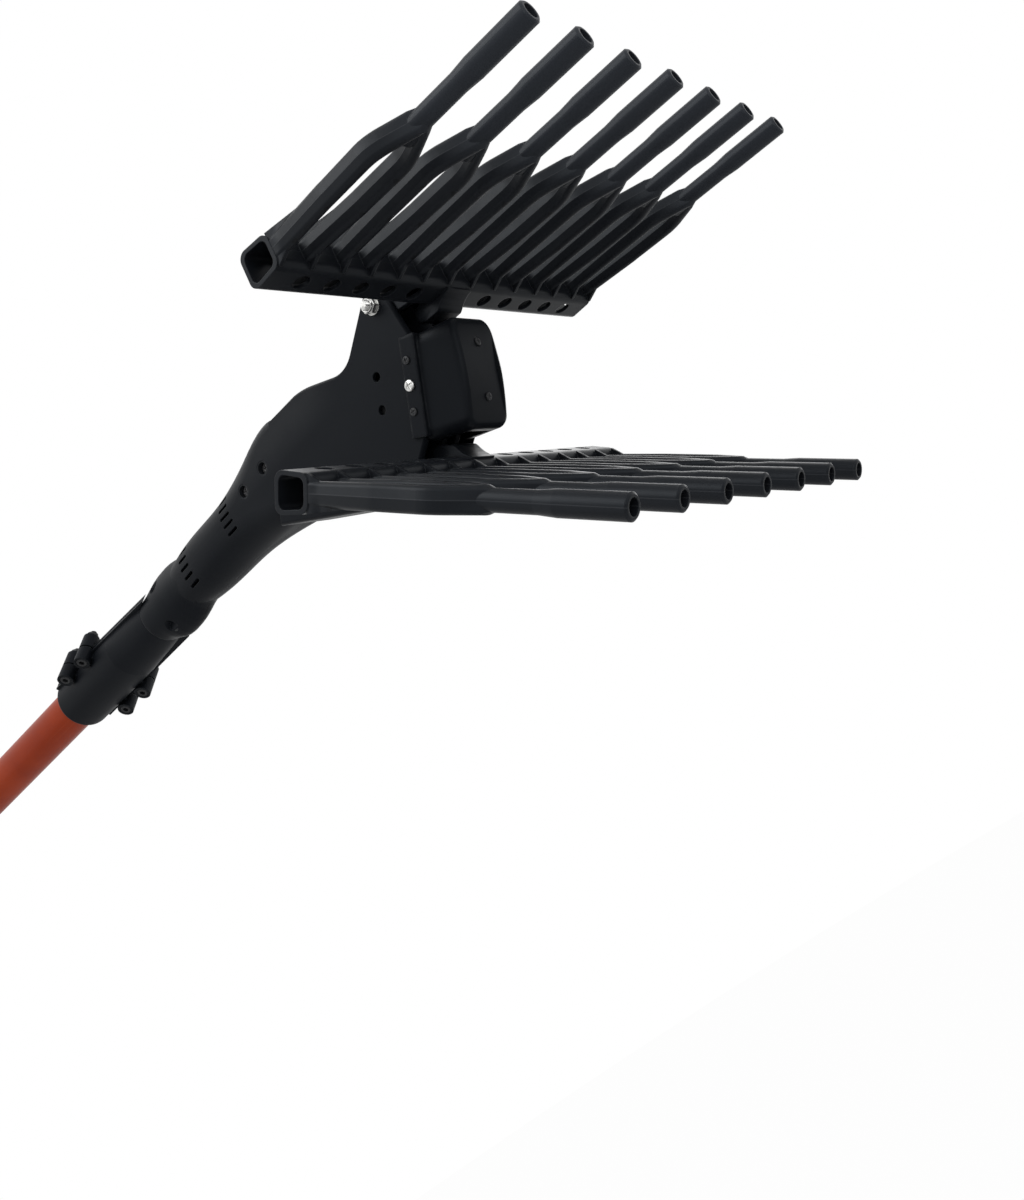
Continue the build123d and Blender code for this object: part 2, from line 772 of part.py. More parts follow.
# Fan on the motor's rear shaft, with straight blades round its hub
with BuildPart() as cooling_fan:
    fan_back = shaft_back + fan_gap
    motor_tube(fan_back, fan_back + fan_len, fan_hub / 2)
    with BuildSketch(across(clamp_x + fan_back)):
        with Locations((0, motor_z)):
            with PolarLocations(fan_d / 4, fan_blades):
                Rectangle(fan_d / 2, fan_blade)
    extrude(amount=fan_len)
    motor_tube(fan_back, fan_back + fan_len, shaft_d / 2 + seat_gap, Mode.SUBTRACT)
keep("cooling_fan", cooling_fan)

# Drive. Its pieces are drawn with both combs at the top of their stroke.
crank_spots = [(crank_reach, 0)]
pin_spots = [(crank_reach, crank_throw)]
yoke_face = yoke_thick / 2
crank_face = -yoke_face - yoke_side_gap
crank_back = crank_face - crank_thick
case_face = crank_back - running_gap
case_nose_back = case_face - case_nose_thick
yoke_front = crank_reach + yoke_half
yoke_back = crank_reach - yoke_half

# Gear case: a plate on the motor, a sealed case along the neck and a nose for the crank
with BuildPart() as gearbox:
    with BuildSketch(across(clamp_x + motor_front)):
        with Locations((0, motor_z)):
            Circle(motor_d / 2 - wall)
    extrude(amount=case_plate)
    block(side, motor_front, case_turn, case_low, case_top, -case_side, case_side)
    shoulder_high = beside_pole(case_shoulder, case_nose_half + wall)
    shoulder_low = beside_pole(case_shoulder, -case_nose_half - wall)
    slab(
        side,
        [(case_turn, case_top), shoulder_high, shoulder_low, (case_turn, case_low)],
        running_gap - ear_inner, case_side,
    )
    block(head, -case_shoulder, case_nose, -case_nose_half, case_nose_half, case_nose_back, case_face)
    for rail in (yoke_back - running_gap - rail_thick, yoke_front + running_gap):
        block(head, rail, rail + rail_thick, -rail_half, rail_half, case_face, yoke_face)
    rod(head, crank_spots, bearing_d / 2 + seat_gap, case_nose_back, case_face, Mode.SUBTRACT)
    motor_tube(motor_front, motor_front + case_plate, shaft_d / 2 + seat_gap, Mode.SUBTRACT)
keep("gearbox", gearbox)

with BuildPart() as crank_bearing:
    rod(head, crank_spots, bearing_d / 2, case_nose_back, case_face)
    rod(head, crank_spots, journal_d / 2 + seat_gap, case_nose_back, case_face, Mode.SUBTRACT)
keep("crank_bearing", crank_bearing)

with BuildPart() as crankshaft:
    rod(head, crank_spots, journal_d / 2, case_nose_back, crank_back)
    rod(head, crank_spots, crank_d / 2, crank_back, crank_face)
    rod(head, pin_spots, crank_pin_d / 2, crank_face, yoke_face + yoke_side_gap + running_gap)
    pin_head = yoke_face + yoke_side_gap + running_gap
    rod(head, pin_spots, roller_d / 2 + wall / 3, pin_head, pin_head + wall / 2)
keep("crankshaft", crankshaft)

with BuildPart() as crank_roller:
    rod(head, pin_spots, roller_d / 2, crank_face + running_gap, pin_head - running_gap)
    rod(head, pin_spots, crank_pin_d / 2 + seat_gap, -yoke_thick, yoke_thick, Mode.SUBTRACT)
keep("crank_roller", crank_roller)

# Yoke: a plate between two rails, with a cross slot for the crank and an eye for each comb
with BuildPart() as yoke:
    yoke_tall = 2 * (yoke_eye + lever_pin_d / 2 + eye_room + yoke_eye_edge)
    with BuildSketch(head(yoke_face)):
        with Locations((crank_reach, crank_throw)):
            RectangleRounded(2 * yoke_half, yoke_tall, wall)
            slot_high = roller_d + 2 * stroke_room
            SlotOverall(slot_high + 2 * crank_throw, slot_high, mode=Mode.SUBTRACT)
        eye_high = lever_pin_d + 2 * eye_room
        with Locations((crank_reach, crank_throw + yoke_eye), (crank_reach, crank_throw - yoke_eye)):
            SlotOverall(eye_high + 2 * eye_travel, eye_high, mode=Mode.SUBTRACT)
    extrude(amount=yoke_thick)
keep("yoke", yoke)

# Crank cover: a tapered box in front of the cheeks, held by a flange on each cheek
cover_back = cheek_front + running_gap / 3
with BuildPart() as crank_cover:
    with BuildSketch(head_cross(cover_back)):
        RectangleRounded(2 * cheek_half, 2 * cheek_front_half, cover_round)
    with BuildSketch(head_cross(cover_front)):
        RectangleRounded(2 * cover_front_half, 2 * cover_front_rise, cover_round)
    loft()
    front_face = crank_cover.faces().filter_by(head_cross(cover_front)).sort_by(Axis.X)[-1]
    fillet(front_face.edges(), radius=cover_edge)
    flange_face = cheek_half + flange_thick
    for low, high, root_low, root_high in (
        (-flange_face, -cheek_half, -flange_face, wall - cheek_half),
        (cheek_half, flange_face, cheek_half - wall, flange_face),
    ):
        block(head, flange_back, flange_front, flange_low, flange_high, low, high)
        block(head, cover_back, flange_front, flange_low, flange_high, root_low, root_high)
    with BuildSketch(head_cross(cover_back)):
        RectangleRounded(
            2 * (cheek_half - cover_wall), 2 * (cheek_front_half - cover_wall),
            cover_round - cover_wall,
        )
    with BuildSketch(head_cross(cover_front - cover_wall)):
        RectangleRounded(
            2 * (cover_front_half - cover_wall), 2 * (cover_front_rise - cover_wall),
            cover_round - cover_wall,
        )
    loft(mode=Mode.SUBTRACT)
    with BuildSketch(head_cross(cover_front - cover_wall - front_boss_len)):
        with Locations(*[(0, z) for z in front_screw_z]):
            Circle(front_boss_d / 2)
    extrude(amount=front_boss_len)
    with BuildSketch(head_cross(cover_front - cover_wall - front_boss_len)):
        with Locations(*[(0, z) for z in front_screw_z]):
            Circle(flange_screw_d / 2 + seat_gap)
    extrude(amount=cover_wall + front_boss_len, mode=Mode.SUBTRACT)
    rod(head, flange_spots, flange_screw_d / 2 + seat_gap, -2 * cheek_half, 2 * cheek_half, Mode.SUBTRACT)
    notch = 2 * cheek_front_half
    block(head, cover_back, notch_front, -notch, notch, -notch_half, notch_half, Mode.SUBTRACT)
keep("crank_cover", crank_cover)


# Flange screws on both cheeks at the given spots
def flange_screw(spots):
    top = flange_face + flange_screw_head
    end = flange_face - flange_screw_len
    for low, high, shank_low, shank_high in (
        (-top, -flange_face, -flange_face, -end),
        (flange_face, top, end, flange_face),
    ):
        rod(head, spots, flange_screw_head_d / 2, low, high)
        rod(head, spots, flange_screw_d / 2, shank_low, shank_high)


with BuildPart() as flange_screws:
    flange_screw([flange_spots[0], flange_spots[2]])
keep("flange_screws", flange_screws)

with BuildPart() as flange_screws_bright:
    flange_screw([flange_spots[1]])
keep("flange_screws_bright", flange_screws_bright)

with BuildPart() as front_screws:
    front_spots = [(0, z) for z in front_screw_z]
    with BuildSketch(head_cross(cover_front)):
        with Locations(*front_spots):
            Circle(flange_screw_head_d / 2)
    extrude(amount=flange_screw_head)
    with BuildSketch(head_cross(cover_front - cover_wall - front_boss_len)):
        with Locations(*front_spots):
            Circle(flange_screw_d / 2)
    extrude(amount=cover_wall + front_boss_len)
keep("front_screws", front_screws)

# Pivot bolts along Y, with a washer on each cheek and a lock nut on the right
washer_face = cheek_half + washer_thick
with BuildPart() as pivot_bolts:
    hexagon(head, pivots, washer_face, washer_face + bolt_head)
    rod(head, pivots, bolt_d / 2, -washer_face - nut_thick - bolt_end, washer_face)
keep("pivot_bolts", pivot_bolts)

with BuildPart() as pivot_nuts:
    hexagon(head, pivots, -washer_face - nut_thick, -washer_face)
    rod(head, pivots, bolt_d / 2 + seat_gap, -2 * cheek_half, 0, Mode.SUBTRACT)
keep("pivot_nuts", pivot_nuts)

with BuildPart() as pivot_washers:
    rod(head, pivots, washer_d / 2, -washer_face, -cheek_half)
    rod(head, pivots, washer_d / 2, cheek_half, washer_face)
    rod(head, pivots, bolt_d / 2 + seat_gap, -2 * cheek_half, 2 * cheek_half, Mode.SUBTRACT)
keep("pivot_washers", pivot_washers)


# Combs. The plane beside a comb starts at its pivot: local x along the tines, local y
# inward, towards the other comb. level is 1 for the upper comb and -1 for the lower.
def comb_axes(level):
    lean = radians(level * comb_open + swing_half - head_drop)
    at = (head_x + level * pivot_rise * sin(drop), 0, head_z + level * pivot_rise * cos(drop))
    along = (cos(lean), 0, sin(lean))
    inward = (level * sin(lean), 0, -level * cos(lean))
    return at, along, inward


def comb_side(level):
    at, along, inward = comb_axes(level)
    return Plane(origin=at, x_dir=along, z_dir=(0, level, 0))


def comb_plan(level, depth):
    at, along, inward = comb_axes(level)
    origin = (at[0] + depth * inward[0], 0, at[2] + depth * inward[2])
    return Plane(origin=origin, x_dir=along, z_dir=inward)


bar_face = bar_from_pivot + bar_depth / 2
bar_rear = bar_from_pivot - bar_depth / 2


# Turned body on a tine's axis; the points run along the tine and out from its axis
def turned(level, points, mode=Mode.ADD):
    at, along, inward = comb_axes(level)
    axis_at = [start + bar_inward * n for start, n in zip(at, inward)]
    with BuildSketch(comb_side(level)) as half:
        with BuildLine():
            Polyline(*[(x, bar_inward + radius) for x, radius in points], close=True)
        make_face()
    revolve(half.sketch, axis=Axis(axis_at, along), mode=mode)


# One tine: two rounded legs that bend together into a round hollow finger
def make_tine(level):
    root = bar_face - bar_wall / 2
    shoulder = bar_face + shoulder_at
    crotch = bar_face + crotch_at
    flare = bar_face + flare_len
    tip = bar_face + tine_len
    hump = bar_face + hump_at
    slim_r, tip_r, bore_r = slim_d / 2, tip_d / 2, tip_bore / 2
    with BuildPart() as leg:
        with BuildSketch(comb_plan(level, bar_inward - leg_deep / 2)):
            with BuildLine():
                FilletPolyline(
                    (root, leg_root_half), (bar_face + leg_bow[0], leg_bow[1]),
                    (bar_face + leg_bend[0], leg_bend[1]), (flare, 0),
                    radius=leg_bend_round,
                )
            trace(line_width=leg_thick)
        extrude(amount=leg_deep)
        fillet(leg.faces().filter_by(comb_plan(level, 0)).edges(), radius=leg_round)
        # gusset from the bar's corners into the leg
        with BuildSketch(comb_side(level).offset(-gusset_half)):
            with BuildLine():
                Polyline(
                    (root, bar_inward - bar_front / 2), (bar_face + gusset_len, bar_inward - leg_deep / 3),
                    (bar_face + gusset_nose, bar_inward + leg_deep / 3), (root, bar_inward + bar_front / 2),
                    close=True,
                )
            make_face()
        extrude(amount=gusset_thick / 2, both=True)
    with BuildPart() as tine:
        add(leg.part)
        mirror(about=Plane.XZ)
        turned(
            level,
            [(0, 0), (0, pitch), (shoulder, pitch), (shoulder, shoulder_r), (flare, slim_r), (flare, 0)],
            Mode.INTERSECT,
        )
        turned(
            level,
            [
                (crotch - slim_r, 0), (crotch, slim_r), (hump - slim_d, slim_r), (hump, tip_r),
                (tip - tip_edge, tip_r), (tip, tip_r - tip_edge), (tip, bore_r),
                (tip - tip_bore_len, bore_r), (tip - tip_bore_len, 0),
            ],
        )
    return tine.part


# Rounded section of the bar, drawn in by inset
def bar_profile(level, inset):
    back_half = bar_back / 2 - inset
    front_half = bar_front / 2 - inset
    with BuildSketch(comb_side(level)) as bar:
        with BuildLine():
            Polyline(
                (bar_rear + inset, bar_inward - back_half), (bar_face - inset, bar_inward - front_half),
                (bar_face - inset, bar_inward + front_half), (bar_rear + inset, bar_inward + back_half),
                close=True,
            )
        make_face()
        fillet(bar.vertices(), radius=bar_round - inset / 2)
    return bar.sketch


# One comb: the open hollow bar with its row of tines, and the hub with its lever fork
def make_comb(level):
    tine = make_tine(level)
    beside = comb_side(level)
    mid = bar_inward
    lever_u, lever_n = lever_at
    with BuildPart() as comb:
        extrude(bar_profile(level, 0), amount=bar_len / 2, both=True)
        row = [(0, (index - (tines - 1) / 2) * pitch, 0) for index in range(tines)]
        with Locations(*row):
            add(tine)
        # side plates between the bar and the pivot barrel
        for plate in (-1, 1):
            with BuildSketch(beside.offset(plate * (hub_half - hub_plate / 2))):
                with BuildLine():
                    Polyline(
                        (0, -barrel_d / 2), (bar_rear + bar_wall, mid - bar_back / 2 + bar_round),
                        (bar_rear + bar_wall, mid + bar_back / 2 - bar_round), (0, barrel_d / 2),
                        close=True,
                    )
                make_face()
            extrude(amount=hub_plate / 2, both=True)
        # web across the hub, and gussets where it meets the bar
        with BuildSketch(comb_plan(level, mid)):
            with BuildLine():
                Polyline(
                    (0, -hub_half), (bar_rear - gusset, -hub_half),
                    (bar_rear + bar_wall, -hub_half - gusset), (bar_rear + bar_wall, hub_half + gusset),
                    (bar_rear - gusset, hub_half), (0, hub_half),
                    close=True,
                )
            make_face()
        extrude(amount=-hub_web)
        # fork that carries the lever pin
        for strap in (-1, 1):
            with BuildSketch(beside.offset(strap * (yoke_face + fork_gap + fork_thick / 2))):
                Circle(barrel_d / 2)
                with Locations(lever_at):
                    Circle(lever_eye_r)
                reach = hypot(lever_u, lever_n)
                cross_u, cross_n = -lever_n / reach, lever_u / reach
                wide, slim = barrel_d / 2, lever_eye_r
                with BuildLine():
                    Polyline(
                        (cross_u * wide, cross_n * wide),
                        (lever_u + cross_u * slim, lever_n + cross_n * slim),
                        (lever_u - cross_u * slim, lever_n - cross_n * slim),
                        (-cross_u * wide, -cross_n * wide),
                        close=True,
                    )
                make_face()
            extrude(amount=fork_thick / 2, both=True)
        with BuildSketch(beside):
            Circle(barrel_d / 2)
        extrude(amount=hub_half, both=True)
        with BuildSketch(beside):
            Circle(bush_d / 2 + seat_gap)
            with Locations(lever_at):
                Circle(lever_pin_d / 2 + seat_gap)
        extrude(amount=hub_half, both=True, mode=Mode.SUBTRACT)
        # the hollow through the bar, and the row of holes on each flank
        extrude(bar_profile(level, bar_wall), amount=bar_len, both=True, mode=Mode.SUBTRACT)
        with BuildSketch(comb_plan(level, mid)):
            for flank in (-1, 1):
                for index in range(bar_hole_count):
                    with Locations((bar_from_pivot, flank * (bar_hole_first + index * pitch / 2))):
                        Circle(bar_hole / 2)
        extrude(amount=bar_back, both=True, mode=Mode.SUBTRACT)
    return comb


for level, place in ((1, "upper"), (-1, "lower")):
    keep(f"{place}_comb", make_comb(level))

    with BuildPart() as pivot_bush:
        with BuildSketch(comb_side(level)):
            Circle(bush_d / 2)
            Circle(bolt_d / 2 + seat_gap, mode=Mode.SUBTRACT)
        extrude(amount=hub_half, both=True)
    keep(f"{place}_pivot_bush", pivot_bush)

    with BuildPart() as lever_pin:
        with BuildSketch(comb_side(level)):
            with Locations(lever_at):
                Circle(lever_pin_d / 2)
        extrude(amount=yoke_face + fork_gap + fork_thick, both=True)
    keep(f"{place}_lever_pin", lever_pin)
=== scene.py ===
import bpy
import numpy as np
from mathutils import Matrix, Vector


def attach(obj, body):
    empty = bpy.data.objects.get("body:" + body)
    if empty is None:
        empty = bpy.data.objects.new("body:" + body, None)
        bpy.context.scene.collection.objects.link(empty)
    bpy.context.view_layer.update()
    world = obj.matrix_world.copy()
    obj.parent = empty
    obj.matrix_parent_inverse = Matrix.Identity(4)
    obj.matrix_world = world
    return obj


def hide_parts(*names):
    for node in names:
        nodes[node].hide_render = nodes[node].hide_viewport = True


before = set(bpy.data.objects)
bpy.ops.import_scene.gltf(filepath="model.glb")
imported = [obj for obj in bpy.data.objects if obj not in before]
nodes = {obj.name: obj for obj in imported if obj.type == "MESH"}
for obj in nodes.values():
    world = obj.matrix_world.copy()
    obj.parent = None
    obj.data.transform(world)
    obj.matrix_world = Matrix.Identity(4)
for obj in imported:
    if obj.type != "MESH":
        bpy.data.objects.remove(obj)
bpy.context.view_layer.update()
print("frame loaded,", len(nodes), "nodes")

mm = 0.001  # bends and carried outlines are given in millimetres, all else in metres
sideways = np.array((0.0, 1.0, 0.0))

# the head drops from the pole's line; its combs open to both sides and swing up together
headSet = {"at": (1.373, 0.0, -0.018), "drop": 27.0, "pivotRise": 0.058, "open": 15.6, "swing": 5.9}
headAt = np.array(headSet["at"])
headDrop = np.radians(headSet["drop"])
headAlong = np.array((np.cos(headDrop), 0.0, -np.sin(headDrop)))
headUp = np.array((np.sin(headDrop), 0.0, np.cos(headDrop)))

# the pole clamp starts at its rim, and the split between its halves is turned about the pole
clampSet = {"rim": (0.930, 0.0, 0.0), "turn": 42.0}
clampRim = np.array(clampSet["rim"])
clampTurn = np.radians(clampSet["turn"])
clampAcross = np.array((0.0, np.cos(clampTurn), -np.sin(clampTurn)))
clampThrough = np.array((0.0, np.sin(clampTurn), np.cos(clampTurn)))


def onHead(along, across, up):
    return headAt + along * headAlong + across * sideways + up * headUp


# level is 1 for the upper comb and -1 for the lower one
def combAxes(level):
    lean = np.radians(level * headSet["open"] + headSet["swing"] - headSet["drop"])
    pivot = onHead(0, 0, level * headSet["pivotRise"])
    forward = np.array((np.cos(lean), 0, np.sin(lean)))
    inward = level * np.array((np.sin(lean), 0, -np.cos(lean)))
    return pivot, forward, inward


# 0 at low, 1 at high, smooth between
def easeIn(value, low, high):
    t = np.clip((value - low) / (high - low), 0, 1)
    return t * t * (3 - 2 * t)


# 0 to 1 across a narrow edge about zero
def edgeStep(value, width):
    return np.clip(value / width + 0.5, 0, 1)


# camera at the photo's angle, taken from the clamp's rim
cameraSet = {
    "offset": (0.8392, -0.5787, -0.3176),
    "right": (0.642, 0.5845, -0.4962),
    "forward": (-0.469, 0.8114, 0.3488),
    "lens": 35.0, "sensor": 36.0, "shiftY": -0.1667, "nearest": 0.01,
}


def placeCamera(s):
    forward = Vector(s["forward"]).normalized()
    right = Vector(s["right"])
    right = (right - forward * right.dot(forward)).normalized()
    up = right.cross(forward)
    data = bpy.data.cameras.new("photoCamera")
    data.sensor_fit = "VERTICAL"
    data.sensor_height = s["sensor"]
    data.lens = s["lens"]
    data.shift_y = s["shiftY"]
    data.clip_start = s["nearest"]
    camera = bpy.data.objects.new("photoCamera", data)
    bpy.context.scene.collection.objects.link(camera)
    turn = Matrix((right, up, -forward)).transposed().to_4x4()
    camera.matrix_world = Matrix.Translation(Vector(clampRim) + Vector(s["offset"])) @ turn
    bpy.context.scene.camera = camera


placeCamera(cameraSet)
print("camera placed")


class Wire:
    # a node's output that takes part in Python arithmetic
    def __init__(self, tree, socket):
        self.tree = tree
        self.socket = socket

    def math(self, operation, *values):
        return makeNode(self.tree, "ShaderNodeMath", {"operation": operation}, dict(enumerate(values)))

    def __add__(self, other):
        return self.math("ADD", self, other)

    def __radd__(self, other):
        return self.math("ADD", other, self)

    def __sub__(self, other):
        return self.math("SUBTRACT", self, other)

    def __rsub__(self, other):
        return self.math("SUBTRACT", other, self)

    def __mul__(self, other):
        return self.math("MULTIPLY", self, other)

    def __rmul__(self, other):
        return self.math("MULTIPLY", other, self)

    def __truediv__(self, other):
        return self.math("DIVIDE", self, other)

    def __mod__(self, other):
        return self.math("FLOORED_MODULO", self, other)

    def __pow__(self, other):
        return self.math("POWER", self, other)

    def __abs__(self):
        return self.math("ABSOLUTE", self)

    def atLeast(self, other):
        return self.math("MAXIMUM", self, other)

    def ramp(self, low, high):
        # 0 at low, 1 at high, smooth between
        sockets = {"Value": self, "From Min": low, "From Max": high}
        return makeNode(self.tree, "ShaderNodeMapRange", {"interpolation_type": "SMOOTHSTEP"}, sockets)


# any node: its type, its settings first, then the values or links of its sockets
def makeNode(tree, kind, settings=None, sockets=None, out=0):
    node = tree.nodes.new(kind)
    for key, value in (settings or {}).items():
        setattr(node, key, value)
    for key, value in (sockets or {}).items():
        if isinstance(value, Wire):
            tree.links.new(value.socket, node.inputs[key])
        else:
            node.inputs[key].default_value = value
    return Wire(tree, node.outputs[out])


class Finish:
    # one material: its tree, its shader and the patterns that the finishes share
    inputs = {"color": "Base Color", "roughness": "Roughness", "normal": "Normal", "coat": "Coat Weight"}

    def __init__(self, name, constants):
        self.material = bpy.data.materials.new(name)
        self.material.use_nodes = True
        self.tree = self.material.node_tree
        self.shader = self.tree.nodes["Principled BSDF"]
        for key, value in constants.items():
            self.shader.inputs[key].default_value = value
        self.place = self.node("ShaderNodeTexCoord", out="Object")

    def node(self, kind, settings=None, sockets=None, out=0):
        return makeNode(self.tree, kind, settings, sockets, out)

    def stretched(self, scale):
        sockets = {"Vector": self.place, "Scale": scale}
        return self.node("ShaderNodeMapping", {"vector_type": "POINT"}, sockets)

    def noise(self, scale, detail=2.0, vector=None):
        sockets = {"Vector": vector or self.place, "Scale": scale, "Detail": detail}
        return self.node("ShaderNodeTexNoise", {"noise_dimensions": "3D"}, sockets)

    def blend(self, factor, first, second):
        settings = {"data_type": "RGBA", "blend_type": "MIX"}
        return self.node("ShaderNodeMix", settings, {0: factor, 6: first, 7: second}, out=2)

    def dot(self, first, second):
        return self.node("ShaderNodeVectorMath", {"operation": "DOT_PRODUCT"}, {0: first, 1: second}, out=1)

    def along(self, direction, start=0.0):
        # distance along a direction, from a start
        return self.dot(self.place, direction) - start

    def softEdges(self, radius):
        # normal as if every edge were rounded, and a mask that is 1 along the edges
        rounded = self.node("ShaderNodeBevel", {"samples": 6}, {"Radius": radius})
        flat = self.node("ShaderNodeNewGeometry", out="Normal")
        return rounded, (1 - self.dot(rounded, flat)).ramp(0.004, 0.16)

    def bump(self, height, distance, strength, normal=None):
        sockets = {"Height": height, "Distance": distance, "Strength": strength}
        if normal:
            sockets["Normal"] = normal
        return self.node("ShaderNodeBump", None, sockets)

    def join(self, **wires):
        for key, wire in wires.items():
            self.tree.links.new(wire.socket, self.shader.inputs[self.inputs[key]])
        return self.material


# satin moulded plastic: spark-eroded grain, faint flow marks, hand smudges, rubbed edges
plasticSet = {
    "base": (0.0041, 0.0049, 0.0066, 1), "flow": (0.0064, 0.0074, 0.0095, 1), "flowMarks": (0.35, 0.75),
    "rubbed": (0.024, 0.026, 0.029, 1), "rubScale": 140.0, "rubMarks": (0.38, 0.66), "edge": 0.0007,
    "specular": 0.088, "tint": (0.86, 0.93, 1.0, 1),
    "smudgeScale": 38.0, "smudges": (0.45, 0.8), "grainScale": 1600.0, "grainDeep": 0.00006,
}


def mouldedPlastic(name, s, roughness, flowScale, extra=None):
    finish = Finish(name, {"Specular IOR Level": s["specular"], "Specular Tint": s["tint"]})
    rounded, edge = finish.softEdges(s["edge"])
    grain = finish.noise(s["grainScale"], 3.0)
    flow = finish.noise(1.0, 4.0, finish.stretched(flowScale)).ramp(*s["flowMarks"])
    smudge = finish.noise(s["smudgeScale"], 5.0).ramp(*s["smudges"])
    wear = edge * finish.noise(s["rubScale"], 4.0).ramp(*s["rubMarks"])
    color = finish.blend(flow, s["base"], s["flow"])
    color = finish.blend(wear * 0.8, color, s["rubbed"])
    height = grain * 0.5
    rough = roughness + 0.10 * (grain - 0.5) + 0.07 * smudge - 0.08 * wear
    if extra:
        color, height, rough, rounded = extra(finish, color, height, rough, rounded)
    normal = finish.bump(height, s["grainDeep"], 0.30, rounded)
    return finish.join(color=color, roughness=rough, normal=normal)


# comb moulding: the mould's parting line runs along the middle of the legs, whose sides have draft,
# ejector pins left round dimples on them, darkened as painted shade, and the fingers are painted paler
# towards their tips as painted light, strongly on the upper comb
combSet = {
    "plastic": {"base": (0.0062, 0.0072, 0.0092, 1), "flow": (0.0090, 0.0102, 0.0126, 1), "specular": 0.15},
    "rough": 0.37, "flowScale": (3, 14, 3), "inward": 0.0066, "pitch": 0.047,
    "line": (0.030, 0.032, 0.036, 1), "lineHalf": 0.00035, "lineFrom": (0.048, 0.054),
    "draft": 0.19, "draftFrom": (0.052, 0.060), "draftTo": (0.138, 0.158),
    "pin": (0.003, 0.003, 0.0035, 1), "pins": (0.066, 0.094, 0.122), "pinSpread": 0.0128,
    "pinRadius": 0.0021, "pinDepth": (0.0055, 0.0062),
    "fingerLight": (0.0195, 0.0222, 0.0275, 1), "fingerLightFrom": (0.138, 0.175), "fingerLightShare": {1: 0.9, -1: 0.06},
}


def combPlastic(name, level, s):
    pivot, forward, inward = combAxes(level)

    def marks(finish, color, height, rough, rounded):
        depth = finish.along(inward, float(inward @ pivot) + s["inward"])
        reach = finish.along(forward, float(forward @ pivot))
        side = finish.along(sideways)
        # painted light: the fingers paler towards their tips, strongly on the upper comb, a little on the
        # lower one
        color = finish.blend(reach.ramp(*s["fingerLightFrom"]) * s["fingerLightShare"][level], color, s["fingerLight"])
        line = 1 - abs(depth).ramp(s["lineHalf"] * 0.4, s["lineHalf"])
        line = line * reach.ramp(*s["lineFrom"])
        color = finish.blend(line * 0.55, color, s["line"])
        fold = abs((side + s["pitch"] / 2) % s["pitch"] - s["pitch"] / 2)  # from the nearest tine's middle
        pins = 0.0
        for at in s["pins"]:
            spread = (fold - s["pinSpread"]) ** 2.0 + (reach - at) ** 2.0
            pins = pins + (1 - (spread ** 0.5).ramp(s["pinRadius"] * 0.9, s["pinRadius"]))
        pins = pins * abs(depth).ramp(*s["pinDepth"])
        # painted shade: each ejector-pin dimple darkened
        color = finish.blend(pins * 0.7, color, s["pin"])
        legs = reach.ramp(*s["draftFrom"]) * (1 - reach.ramp(*s["draftTo"]))
        sloped = finish.bump(abs(depth) * -s["draft"] * legs, 1.0, 1.0, rounded)
        return color, height + line * 3.0 - pins * 4.0, rough + 0.06 * line, sloped
    return mouldedPlastic(name, dict(plasticSet, **s["plastic"]), s["rough"], s["flowScale"], marks)


# collar: groove between the two halves, on the middle plane
splitSet = {"color": (0.0015, 0.0016, 0.0018, 1), "half": (0.00018, 0.00045)}


def splitLine(finish, color, height, rough, rounded):
    groove = 1 - abs(finish.along(sideways)).ramp(*splitSet["half"])
    color = finish.blend(groove * 0.8, color, splitSet["color"])
    return color, height - groove * 6.0, rough + 0.1 * groove, rounded


# neck and cheeks: the upper edge falls away softly, as on a pillow, and each screw well has a shallow dish,
# tinted paler as a painted highlight
pillowSet = {
    "top": 0.0375, "deep": 0.036, "fall": 0.0100, "fadeIn": (1.180, 1.235), "fadeOut": (1.300, 1.350),
    "wells": ((1.2256, 0.0100), (1.2517, 0.0116)), "dish": (0.0048, 0.0056), "dishDeep": 0.0007,
}


def pillowed(finish, color, height, rough, rounded):
    s = pillowSet
    along, rise = finish.along((1, 0, 0)), finish.along((0, 0, 1))
    near = ((rise - (s["top"] - s["deep"])) / s["deep"]).atLeast(0.0)
    fade = along.ramp(*s["fadeIn"]) * (1 - along.ramp(*s["fadeOut"]))
    shape = near * near * -s["fall"] * fade
    for x, z in s["wells"]:
        far = ((along - x) ** 2.0 + (rise - z) ** 2.0) ** 0.5
        dish = 1 - far.ramp(*s["dish"])
        shape = shape - dish * s["dishDeep"]
        # painted highlight: each dish is paled with the rubbed-edge colour
        color = finish.blend(dish * 0.35, color, plasticSet["rubbed"])
    return color, height, rough, finish.bump(shape, 1.0, 1.0, rounded)


# sprayed aluminium tube: satin coat, sliding scuffs along its length, chips to bare metal at its ends
tubeSet = {
    "deep": (0.24, 0.026, 0.0055, 1), "light": (0.31, 0.038, 0.008, 1), "cloudScale": 14.0,
    "scuff": (0.38, 0.075, 0.030, 1), "streaks": (7, 900, 900), "patchScale": 11.0,
    "bare": (0.55, 0.54, 0.53, 1), "edge": 0.0006, "chipScale": 420.0,
    "specular": 0.06, "coatRough": 0.25, "peelScale": 650.0, "peelDeep": 0.00005,
}


